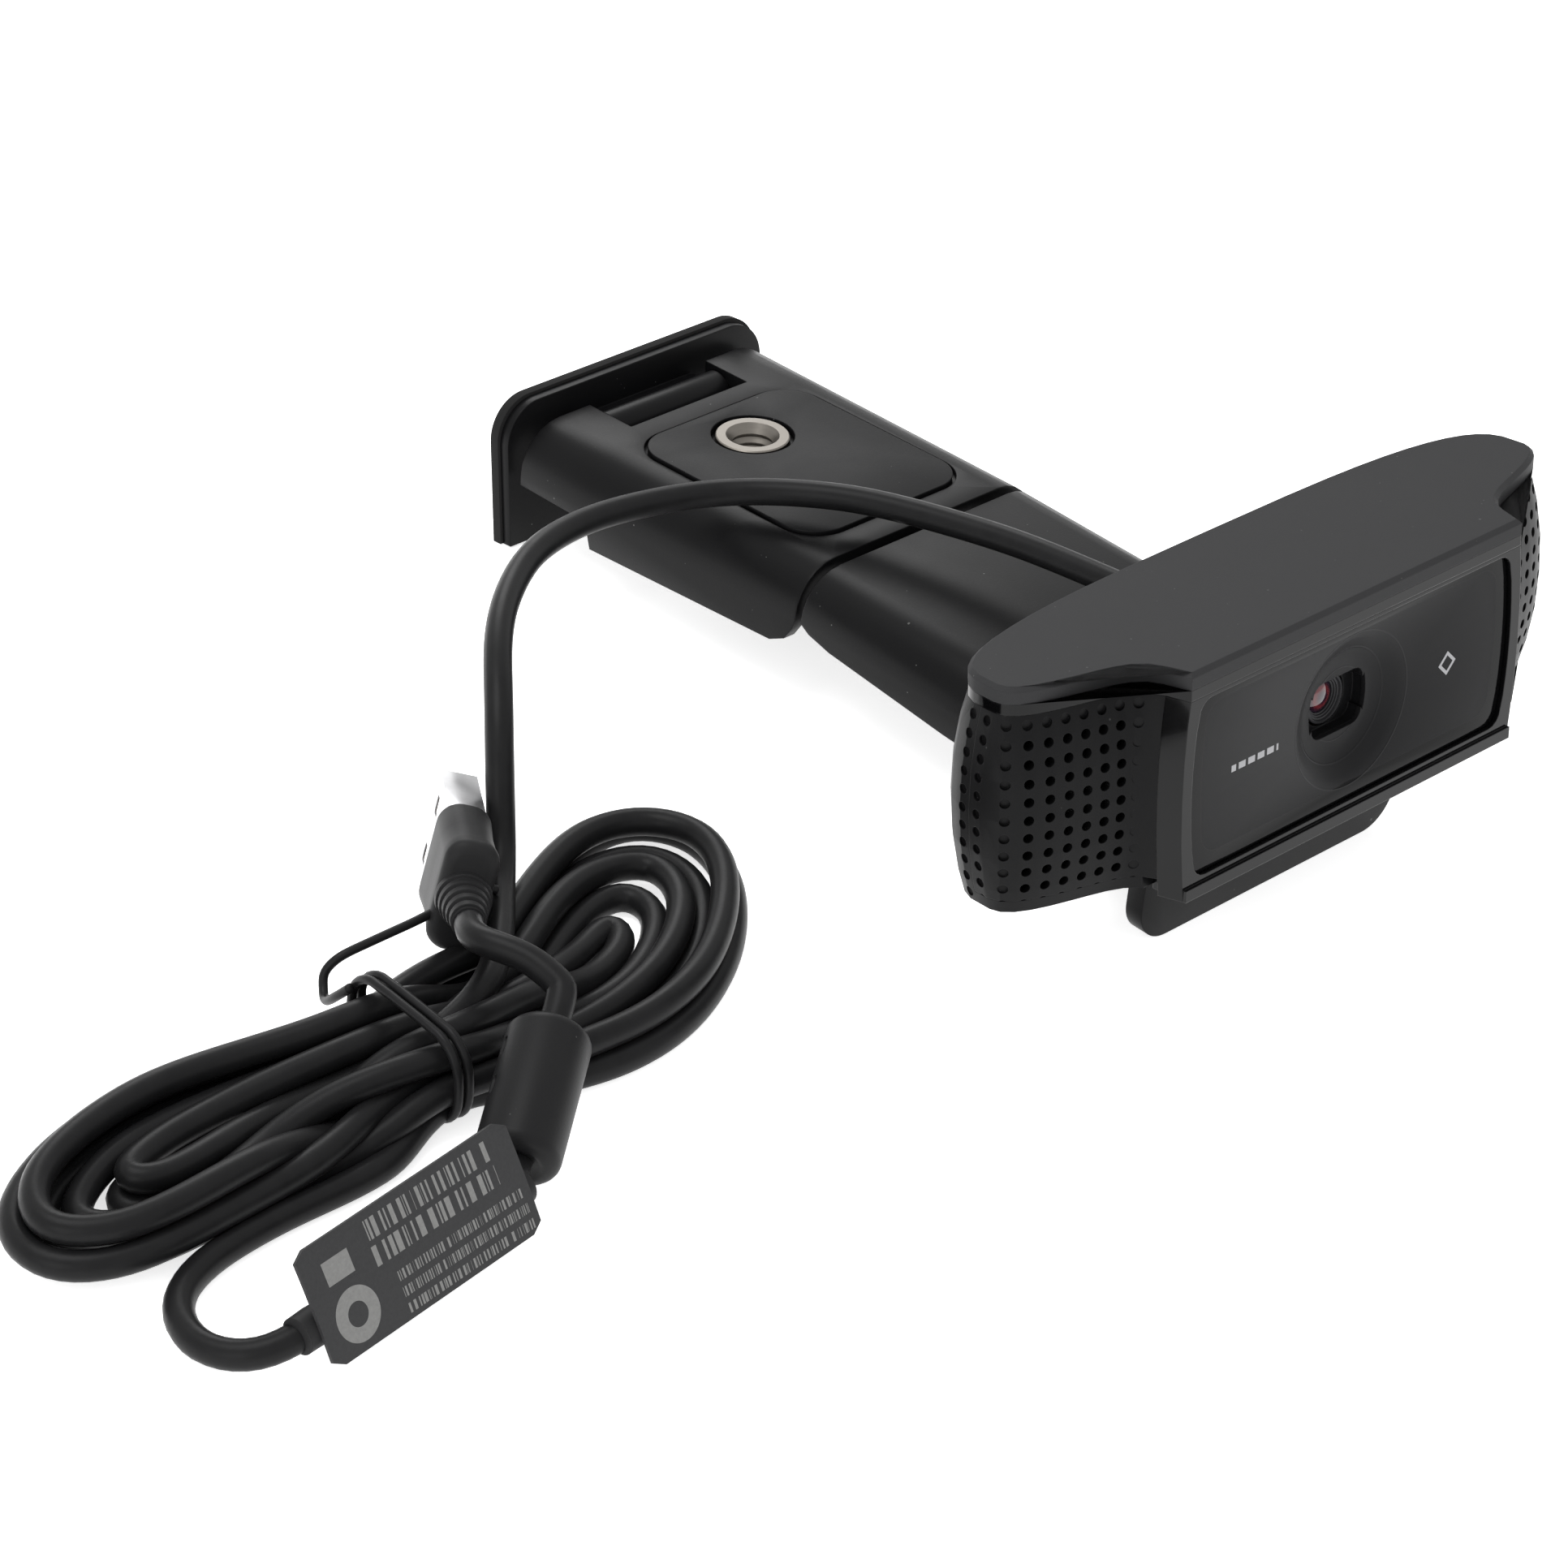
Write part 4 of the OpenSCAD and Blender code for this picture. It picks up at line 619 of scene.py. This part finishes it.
def rounded_outline(half_w, half_h, corner, steps=5):
    """Points of a rounded rectangle about the middle, in two numbers each."""
    points = []
    centres = ((1, 1, 0), (-1, 1, 90), (-1, -1, 180), (1, -1, 270))
    for side, up, start in centres:
        for k in range(steps + 1):
            a = math.radians(start + 90 * k / steps)
            x = side * (half_w - corner) + corner * math.cos(a)
            points.append((x, up * (half_h - corner) + corner * math.sin(a)))
    return points


def block_along_x(name, stations, frame, corner, centre_z):
    """A rounded bar along X; each station is (x, half width, half height)."""
    rings = []
    for x, half_w, half_h in stations:
        limit = min(corner, half_w * 0.95, half_h * 0.95)
        ring = rounded_outline(half_w, half_h, limit, 8)
        rings.append([(x, y, centre_z + z) for y, z in ring])
    return new_piece(name, *skin(rings), frame)


def finished(piece, material, body=None):
    """Gives a piece its finish, slot and body."""
    piece.data.materials.clear()
    piece.data.materials.append(material)
    if body:
        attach(piece, body)
    return piece


def crisp(piece, degrees=38):
    """Smooth faces with the sharp corners kept."""
    split = piece.modifiers.new("crisp corners", "EDGE_SPLIT")
    split.split_angle = math.radians(degrees)
    return piece


def carved(piece, cutters):
    """Cuts the cutters out of a piece and removes them."""
    for cutter in cutters:
        cut = piece.modifiers.new("cut", "BOOLEAN")
        cut.object = cutter
        cut.solver = "EXACT"
    shape = piece.evaluated_get(bpy.context.evaluated_depsgraph_get())
    mesh = bpy.data.meshes.new_from_object(shape)
    piece.modifiers.clear()
    piece.data = mesh
    for cutter in cutters:
        bpy.data.objects.remove(cutter)
    return piece


def dress_node(name, material, edge_mm=0.0):
    """Gives a frame node its finish, welded seams, smooth faces and, if asked, rounded edges."""
    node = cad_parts[name]
    node.data.materials.clear()
    node.data.materials.append(material)
    if "custom_normal" in node.data.attributes:
        node.data.attributes.remove(node.data.attributes["custom_normal"])
    node.data.polygons.foreach_set("use_smooth", [True] * len(node.data.polygons))
    weld = node.modifiers.new("weld seams", "WELD")
    weld.merge_threshold = 0.002 * MM
    if edge_mm:
        edge = node.modifiers.new("eased edges", "BEVEL")
        edge.width = edge_mm * MM
        edge.segments = 3
        edge.limit_method = "ANGLE"
        edge.angle_limit = math.radians(50)
        edge.use_clamp_overlap = True
    return crisp(node)


def between(a, b):
    """A frame at a with its X axis towards b."""
    way = b - a
    return Matrix.Translation(a) @ way.to_track_quat("X", "Z").to_matrix().to_4x4()


def label_frame():
    """The label's frame: X across its flag, Y out of its face, Z along the cord."""
    way = (LABEL_B - LABEL_A).normalized()
    heading = Matrix.Rotation(math.atan2(way.y, way.x), 4, "Z")
    fall = Matrix.Rotation(math.acos(way.z), 4, "Y")
    return Matrix.Translation(LABEL_A) @ heading @ fall @ Matrix.Rotation(LABEL_LEAN, 4, "Z")


# ---- Operators, one for each piece or group of like pieces ----


class PieceOperator:
    """What the operators share."""

    bl_options = {"REGISTER", "UNDO"}

    def execute(self, context):
        self.make(context.scene.clipcam_cord, context.scene.clipcam_colours)
        return {"FINISHED"}


class CLIPCAM_OT_camera(bpy.types.Operator):
    """Place the camera at the product view"""

    bl_idname = "clipcam.camera"
    bl_label = "Camera"
    at_mm = (-403.3, -350.16, 332.0)
    azimuth = math.radians(-46.92)
    elevation = math.radians(33.14)
    roll = math.radians(5.68)

    def execute(self, context):
        data = bpy.data.cameras.new("camera")
        data.lens = context.scene.clipcam_studio.lens
        data.sensor_width = 36
        data.clip_start = 0.01
        camera = bpy.data.objects.new("camera", data)
        context.scene.collection.objects.link(camera)
        level = math.cos(self.elevation)
        back = Vector((math.sin(self.azimuth) * level, -math.cos(self.azimuth) * level, 0))
        back.z = math.sin(self.elevation)
        right = Vector((math.cos(self.azimuth), math.sin(self.azimuth), 0))
        up = back.cross(right)
        turned_right = right * math.cos(self.roll) + up * math.sin(self.roll)
        turned_up = up * math.cos(self.roll) - right * math.sin(self.roll)
        camera.matrix_world = Matrix.Translation(Vector(self.at_mm) * MM) @ Matrix(
            (turned_right, turned_up, back)
        ).transposed().to_4x4()
        context.scene.camera = camera
        return {"FINISHED"}


class CLIPCAM_OT_cord(PieceOperator, bpy.types.Operator):
    """Lay the cord from the head through its tied bundle to the plug"""

    bl_idname = "clipcam.cord"
    bl_label = "Cord"

    def make(self, sizes, colours):
        level = math.cos(HEAD_TILT)
        start = HEAD @ Vector((0, RELIEF_Y + RELIEF_LEN + EXIT_GAP, RELIEF_Z))
        first = start + 4 * Vector((0, level, -math.sin(HEAD_TILT)))
        points = [tuple(start), tuple(first), *ROUTE[2:]]
        line = relaxed(curve_through(points, 5), 8)
        line[:, 2] = np.maximum(line[:, 2], sizes.diameter / MM / 2 + 0.03)
        cord = swept_tube("cord", line, sizes.diameter / MM / 2, sizes.sides)
        finished(cord, cord_jacket("cord jacket", colours.cord))
        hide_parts("cord_lead", "cord_hank", "cord_tail", "cord_link", "cord_loop")
        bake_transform(cord)


class CLIPCAM_OT_cord_fittings(PieceOperator, bpy.types.Operator):
    """Make the ferrite bead, the paper label and the wire tie"""

    bl_idname = "clipcam.cord_fittings"
    bl_label = "Bead, label and tie"

    def make(self, sizes, colours):
        self.bead(colours)
        self.label(colours)
        self.tie(sizes)

    def bead(self, colours):
        length = (BEAD_B - BEAD_A).length
        round_r = 1.5
        neck = 2.6
        turn = [math.radians(a) for a in (0, 18, 36, 54, 72, 90)]
        start = [(round_r * (1 - math.sin(a)), BEAD_R - round_r * (1 - math.cos(a))) for a in turn[::-1]]
        profile = [(0.25, neck), (0, neck + 0.3)] + start
        profile += [(length - x, r) for x, r in reversed(profile)]
        bead = turned("bead", profile, between(BEAD_A, BEAD_B), 56)
        slots = []
        for k, along in enumerate((4.2, 9.4)):
            ring = rounded_outline(1.1, 0.42, 0.4, 4)
            rings = [[(along + x, -4 - depth, 2.2 + z) for x, z in ring] for depth in (-0.8, 3)]
            slots.append(new_piece(f"slot{k}", *skin(rings), between(BEAD_A, BEAD_B)))
        crisp(carved(bead, slots), 50)
        finish = moulded_plastic("bead plastic", shade(colours.cord, 1.15), 0.42, 4.0, dust=0.5)
        finished(bead, finish, "arm")
        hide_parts("ferrite_core")

    def label(self, colours):
        frame = label_frame()
        length = (LABEL_B - LABEL_A).length
        finish = label_paper("label paper", colours.label, colours.print)
        out = CORD_D / 2
        across = np.linspace(-LABEL_BELOW, LABEL_FLAG - LABEL_BELOW, 15)
        along = np.linspace(0, length, 22)
        rings = []
        for z in along:
            end = min(z, length - z)
            cut = 0.9 * max(0.0, 1 - end / 0.9) ** 2
            face = [(x, out + LABEL_T * 2 + 0.016 * (x - 2) ** 2 * -0.25, z) for x in across]
            face[0] = (across[0] + cut, *face[0][1:])
            face[-1] = (across[-1] - cut, *face[-1][1:])
            back = [(x, y - LABEL_T, z) for x, y, z in reversed(face)]
            rings.append(face + back)
        flag = crisp(new_piece("label_flag", *skin(rings), frame))
        finished(flag, finish, "arm")
        wall = out + LABEL_T
        rings = []
        for z in np.linspace(-1.2, length + 1.2, 30):
            lift = 0.05 * math.sin(z * 2.1) + 0.03 * math.sin(z * 5.3)
            angles = [2 * math.pi * k / 32 for k in range(32)]
            rings.append([((wall + lift) * math.cos(a), (wall + lift) * math.sin(a), z) for a in angles])
        wrap = crisp(new_piece("label_sleeve_wrap", *skin(rings), frame), 50)
        paper = moulded_plastic("label back", shade(colours.label, 0.55), 0.5, 3.0)
        finished(wrap, paper, "arm")
        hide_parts("label_sleeve")

    def tie(self, sizes):
        wire_r = sizes.wire / MM / 2
        lines = []
        corner = rounded_outline(TIE_HALF_W, TIE_H / 2 - wire_r, TIE_ROUND, 8)
        middle = TIE_H / 2
        for turn in range(2):
            for k, (y, z) in enumerate(corner):
                lean = 0.10 * y - 0.05 * z
                x = TIE_X - 0.65 + 1.3 * turn + 0.5 * lean + 1.3 * k / len(corner) * turn * 0.3
                lines.append((x, TIE_Y + y, middle + z))
        first = lines[: len(corner)]
        second = lines[len(corner) :]
        vertices, faces = skin(tube_rings(relaxed_loop(first), wire_r, 12, True), True)
        others, other_faces = skin(tube_rings(relaxed_loop(second), wire_r, 12, True), True)
        shift = len(vertices)
        faces += [tuple(i + shift for i in face) for face in other_faces]
        tie = new_piece("tie", vertices + others, faces)
        finish = moulded_plastic("tie sleeve", (0.011, 0.011, 0.0115), 0.35, 6.0, edge_mm=0.0)
        finished(tie, finish, "arm")
        loose = [
            (-109.2, -13.6, 9.6), (-109.4, -11.4, 7.2), (-108.4, -8.6, 4.6), (-107.4, -7.0, 5.0),
            (-106.6, -6.2, 6.4), (-104.9, -6.7, 8.0), (-101.6, -7.2, 8.6), (-98.6, -7.6, 9.0),
            (-95.0, -7.9, 9.3), (-91.7, -7.9, 9.5), (-88.0, -7.9, 9.6), (-85.0, -7.8, 9.5),
            (-83.4, -8.4, 9.0),
        ]
        end = swept_tube("tie_end", relaxed(curve_through(loose, 6), 4), wire_r, 12)
        finished(end, finish, "arm")
        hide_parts("tie_wire")


def relaxed_loop(points):
    """A closed line with its corners evened out."""
    p = np.array(points, float)
    return (np.roll(p, 1, 0) + 2 * p + np.roll(p, -1, 0)) / 4


class CLIPCAM_OT_plug(PieceOperator, bpy.types.Operator):
    """Make the plug's grip and boot, and finish its metal shell"""

    bl_idname = "clipcam.plug"
    bl_label = "Plug"

    def make(self, sizes, colours):
        x1 = -SHELL_LEN
        x0 = x1 - MOULD_LEN
        half_w = MOULD_W / 2
        half_h = MOULD_H / 2
        ease = [(1.3 * (1 - math.sin(a)), 1.3 * (1 - math.cos(a))) for a in (1.571, 1.1, 0.7, 0.35, 0)]
        stations = [(x0 + along, half_w - cut, half_h - cut) for along, cut in ease]
        waist = [(x0 + 3.5, half_w - 0.1, half_h - 0.25), (x0 + 7.5, half_w - 0.15, half_h - 0.3)]
        small = [(0.6 * along, 0.6 * cut) for along, cut in reversed(ease)]
        front = [(x1 - along, half_w - cut, half_h - cut) for along, cut in small]
        grip = block_along_x("plug_grip", stations + waist + front, PLUG, 2.6, half_h)
        crisp(grip, 50)
        finish = moulded_plastic("plug grip plastic", colours.mould, 0.46, 4.5, 0.45)
        finished(grip, finish, "arm")
        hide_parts("plug_body")
        profile = ribs(x0 + 0.3, -1, 3.3, 0.3, 0.1, 0.5)
        profile += [(x0 - BOOT_LEN, 2.0), (x0 - BOOT_LEN - 0.1, CORD_D / 2 + 0.02)]
        boot = turned("plug_boot", profile[::-1], PLUG @ Matrix.Translation((0, 0, half_h)), 40)
        finished(crisp(boot, 35), finish, "arm")
        dress_node("plug_shell", turned_metal("plug metal", (0.62, 0.62, 0.63), 0.3, PLUG, 1.2), 0.25)
        tongue = moulded_plastic("plug tongue plastic", (0.7, 0.7, 0.68), 0.4, 6.0)
        dress_node("plug_tongue", tongue)
        dress_node("plug_contacts", turned_metal("contact gold", (0.85, 0.6, 0.25), 0.25, PLUG))


class CLIPCAM_OT_head_shells(PieceOperator, bpy.types.Operator):
    """Finish the lid, the gloss band, the two grilles, the rear shell and the gloss frame"""

    bl_idname = "clipcam.head_shells"
    bl_label = "Head shells"

    def make(self, sizes, colours):
        cover = moulded_plastic("lid plastic", colours.cover, 0.62, 7.0, 0.5, 0.6)
        dress_node("top_cover", cover)
        pod = moulded_plastic("pod plastic", colours.pod, 0.42, 5.0, 0.3, 0.3, edge_mm=0.12)
        for name in ("left_grille", "right_grille", "rear_shell"):
            dress_node(name, pod)
        gloss = polished_plastic("gloss trim", colours.gloss)
        for name in ("trim_band", "front_bezel"):
            dress_node(name, gloss)


class CLIPCAM_OT_window(PieceOperator, bpy.types.Operator):
    """Finish the window and the lens recess"""

    bl_idname = "clipcam.window"
    bl_label = "Window"

    def make(self, sizes, colours):
        dress_node("front_window", window_film("window film", colours.window, colours.gloss))
        recess = moulded_plastic("recess plastic", (0.006, 0.006, 0.0065), 0.3, 5.0)
        dress_node("lens_hood", recess)


class CLIPCAM_OT_lens(PieceOperator, bpy.types.Operator):
    """Make the lens barrel with its stepped rings, and the domed front glass"""

    bl_idname = "clipcam.lens"
    bl_label = "Lens"

    def make(self, sizes, colours):
        frame = HEAD @ Matrix.Translation((0, 0, LENS_Z)) @ Matrix.Rotation(math.pi / 2, 4, "Z")
        y = BARREL_Y
        profile = [
            (y + 5.2, 2.05), (y + 5.2, BARREL_R), (y + 0.25, BARREL_R), (y + 0.06, BARREL_R - 0.06),
            (y, BARREL_R - 0.22), (y + 0.02, 2.85), (y + 0.16, 2.75), (y + 0.3, 2.72), (y + 0.34, 2.5),
            (y + 0.5, 2.46), (y + 0.54, 2.28), (y + 0.72, 2.24), (y + 0.76, 2.06), (y + 0.88, 2.04),
        ]
        barrel = crisp(turned("lens_barrel_shell", profile, frame, 56, closed=True), 30)
        metal = Finish("barrel black", (0.018, 0.018, 0.02), 0.3)
        fine = metal.noise(metal.place(), 8.0, 2.0)
        metal.set("Base Color", metal.mixed(fine, (0.012, 0.012, 0.013), (0.03, 0.03, 0.032)))
        metal.set("Roughness", fine * 0.15 + 0.22)
        metal.bump(fine, 0.1, 0.02, 0.04)
        finished(barrel, metal.material, "lens")
        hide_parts("lens_barrel")
        dome_r = 4.0
        back = y + 0.9
        profile = []
        glass_r = 2.0
        rim = math.sqrt(dome_r**2 - glass_r**2)
        for k in range(9):
            r = glass_r * k / 8
            profile.append((back - math.sqrt(dome_r**2 - r * r) + rim, max(r, 0.01)))
        profile.append((back + 2.2, glass_r))
        glass = turned("lens_front_glass", profile, frame, 48)
        finished(crisp(glass, 40), lens_glass_painted_glint("lens glass painted glint"), "lens")
        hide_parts("lens_glass")


class CLIPCAM_OT_strain_relief(PieceOperator, bpy.types.Operator):
    """Make the tapered, ribbed sleeve where the cord leaves the head"""

    bl_idname = "clipcam.strain_relief"
    bl_label = "Strain relief"

    def make(self, sizes, colours):
        frame = HEAD @ Matrix.Translation((0, 0, RELIEF_Z)) @ Matrix.Rotation(math.pi / 2, 4, "Z")
        flange = 3.9
        neck = 2.92
        profile = [(RELIEF_Y - 2.6, flange), (RELIEF_Y - 1.9, flange)]
        profile += [(RELIEF_Y - 1.8, neck), (RELIEF_Y + 1.2, neck)]
        profile += ribs(RELIEF_Y + 1.5, 1, 2.95, 0.16, 0.06, 0.42)
        profile += [(RELIEF_Y + RELIEF_LEN - 0.3, 2.1), (RELIEF_Y + RELIEF_LEN, 1.95)]
        sleeve = crisp(turned("relief_sleeve", profile, frame, 40), 35)
        finish = moulded_plastic("relief rubber", shade(colours.cord, 0.9), 0.5, 4.0)
        finished(sleeve, finish, "head")
        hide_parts("strain_relief")


class CLIPCAM_OT_stand(PieceOperator, bpy.types.Operator):
    """Finish the arm, lip, leg, tripod panel, toe and pads"""

    bl_idname = "clipcam.stand"
    bl_label = "Stand"

    def make(self, sizes, colours):
        satin = moulded_plastic("clip plastic", colours.stand, 0.36, 4.0, 0.28, 0.8)
        for name in ("arm_shell", "leg_shell", "front_lip", "toe_plate"):
            dress_node(name, satin, 0.3)
        panel = moulded_plastic("panel plastic", shade(colours.stand, 1.2), 0.44, 5.0, 0.4, 0.8)
        dress_node("tripod_panel", panel, 0.12)
        knuckle = moulded_plastic("knuckle plastic", shade(colours.stand, 1.1), 0.5, 4.0)
        for name in ("arm_knuckle", "leg_knuckles"):
            dress_node(name, knuckle, 0.15)
        rubber = moulded_plastic("grip rubber", (0.012, 0.012, 0.012), 0.78, 2.5, 0.6)
        for name in ("lip_pad", "toe_pad"):
            dress_node(name, rubber, 0.3)
        steel = turned_metal("pin steel", (0.5, 0.5, 0.51), 0.34)
        for name in ("tilt_pin", "fold_pin", "toe_pin", "leg_screws", "housing_screws"):
            dress_node(name, steel, 0.1)


class CLIPCAM_OT_insert(PieceOperator, bpy.types.Operator):
    """Make the threaded metal insert in the leg"""

    bl_idname = "clipcam.insert"
    bl_label = "Threaded insert"
    top = 9.95
    height = 6.6
    outer_r = 4.8
    crest_r = 2.6
    root_r = 3.1
    pitch = 1.27

    def make(self, sizes, colours):
        frame = LEG @ Matrix.Translation((0, self.centre_y(), 0)) @ Matrix.Rotation(-math.pi / 2, 4, "Y")
        profile = [(self.top - self.height, 3.4), (self.top - self.height, 4.2)]
        profile += [(self.top - self.height + 0.8, self.outer_r), (self.top - 0.15, self.outer_r)]
        profile += [(self.top, self.outer_r - 0.15), (self.top, 3.45), (self.top - 0.5, self.root_r)]
        at = self.top - 0.6
        while at > self.top - self.height + self.pitch:
            profile += [(at - self.pitch / 2, self.crest_r), (at - self.pitch, self.root_r)]
            at -= self.pitch
        insert = crisp(turned("insert_ring", profile, frame, 56, closed=True), 30)
        bronze = turned_metal("insert bronze", (0.2, 0.185, 0.165), 0.36, LEG, 2.0)
        finished(insert, bronze, "leg")
        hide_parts("threaded_insert")

    def centre_y(self):
        """The insert's place along the leg, from the frame itself."""
        low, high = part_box("threaded_insert")
        middle = (low + high) / 2 / MM
        return (LEG.inverted() @ middle).y


class CLIPCAM_OT_inside(PieceOperator, bpy.types.Operator):
    """Finish the boards, chips, coil, microphones and the other inner pieces"""

    bl_idname = "clipcam.inside"
    bl_label = "Inner pieces"

    def make(self, sizes, colours):
        board = moulded_plastic("circuit board", (0.012, 0.075, 0.035), 0.4, 2.0)
        silicon = polished_plastic("sensor silicon", (0.06, 0.06, 0.09), 0.12)
        chip = moulded_plastic("chip resin", (0.02, 0.02, 0.02), 0.55, 4.0)
        rubber = moulded_plastic("boot rubber", (0.02, 0.02, 0.02), 0.75, 3.0)
        finishes = {
            "focus_coil": turned_metal("coil wire", (0.62, 0.3, 0.12), 0.35, HEAD, 6.0),
            "image_sensor": silicon,
            "sensor_board": board,
            "main_board": board,
            "processor_chip": chip,
            "cord_socket": moulded_plastic("socket nylon", (0.62, 0.6, 0.52), 0.5, 3.0),
            "inner_cord": cord_jacket("inner jacket", colours.cord),
            "left_microphone": turned_metal("capsule metal", (0.6, 0.6, 0.6), 0.35),
            "right_microphone": turned_metal("capsule metal right", (0.6, 0.6, 0.6), 0.35),
            "left_mic_boot": rubber,
            "right_mic_boot": rubber,
            "light_guides": moulded_plastic("light guide", (0.7, 0.7, 0.72), 0.2, 2.0),
        }
        for name, material in finishes.items():
            dress_node(name, material)


class CLIPCAM_OT_stage(bpy.types.Operator):
    """Lay the pale floor and hang the soft studio lights"""

    bl_idname = "clipcam.stage"
    bl_label = "Stage"

    def execute(self, context):
        studio = context.scene.clipcam_studio
        reach = 3000.0
        corners = [(-reach, -reach, 0), (reach, -reach, 0), (reach, reach, 0), (-reach, reach, 0)]
        floor = new_piece("floor", corners, [(0, 1, 2, 3)])
        floor.location.z = -0.02 * MM
        glow = {"Emission_Color": (1, 1, 1, 1), "Emission_Strength": 0.7}
        paper = Finish("floor paper", (0.95, 0.95, 0.95), 0.9, **glow)
        tone = paper.noise(paper.place(), 0.02, 2.0)
        paper.set("Base Color", paper.mixed(tone, (0.94, 0.94, 0.94), (0.96, 0.96, 0.96)))
        floor.data.materials.append(paper.material)
        world = bpy.data.worlds.new("white surround")
        world.use_nodes = True
        world.node_tree.nodes["Background"].inputs["Color"].default_value = (1, 1, 1, 1)
        world.node_tree.nodes["Background"].inputs["Strength"].default_value = studio.sky
        context.scene.world = world
        lights = (
            ("key light", (-0.25, 0.15, 0.75), 0.5, studio.key_power),
            ("back light", (0.35, 0.6, 0.45), 0.4, studio.rim_power),
            ("fill light", (-0.75, -0.2, 0.3), 0.45, studio.fill_power),
        )
        for name, at, size, power in lights:
            data = bpy.data.lights.new(name, "AREA")
            data.shape = "DISK"
            data.size = size
            data.energy = power
            lamp = bpy.data.objects.new(name, data)
            context.scene.collection.objects.link(lamp)
            lamp.location = at
            lamp.rotation_euler = (-Vector(at)).to_track_quat("-Z", "Y").to_euler()
        context.scene.view_settings.view_transform = "Standard"
        return {"FINISHED"}


PIECE_OPERATORS = (
    CLIPCAM_OT_camera,
    CLIPCAM_OT_cord_fittings,
    CLIPCAM_OT_plug,
    CLIPCAM_OT_cord,
    CLIPCAM_OT_head_shells,
    CLIPCAM_OT_window,
    CLIPCAM_OT_lens,
    CLIPCAM_OT_strain_relief,
    CLIPCAM_OT_stand,
    CLIPCAM_OT_insert,
    CLIPCAM_OT_inside,
    CLIPCAM_OT_stage,
)


class CLIPCAM_PT_panel(bpy.types.Panel):
    """Lists the webcam's pieces, sizes and colours"""

    bl_idname = "CLIPCAM_PT_panel"
    bl_label = "Clip Webcam"
    bl_space_type = "VIEW_3D"
    bl_region_type = "UI"
    bl_category = "Clip Webcam"

    def draw(self, context):
        for operator in PIECE_OPERATORS:
            self.layout.operator(operator.bl_idname)
        scene = context.scene
        for group in (scene.clipcam_cord, scene.clipcam_colours, scene.clipcam_studio):
            box = self.layout.box()
            for name in group.__annotations__:
                box.prop(group, name)


GROUPS = (ClipcamCordSizes, ClipcamColours, ClipcamStudio)


def register():
    for entry in (*GROUPS, *PIECE_OPERATORS, CLIPCAM_PT_panel):
        bpy.utils.register_class(entry)
    bpy.types.Scene.clipcam_cord = PointerProperty(type=ClipcamCordSizes)
    bpy.types.Scene.clipcam_colours = PointerProperty(type=ClipcamColours)
    bpy.types.Scene.clipcam_studio = PointerProperty(type=ClipcamStudio)


def unregister():
    del bpy.types.Scene.clipcam_studio
    del bpy.types.Scene.clipcam_colours
    del bpy.types.Scene.clipcam_cord
    for entry in (CLIPCAM_PT_panel, *reversed(PIECE_OPERATORS), *reversed(GROUPS)):
        bpy.utils.unregister_class(entry)


def main():
    register()
    for operator in PIECE_OPERATORS:
        name = operator.bl_idname.split(".")[1]
        getattr(bpy.ops.clipcam, name)()


if __name__ == "__main__":
    main()
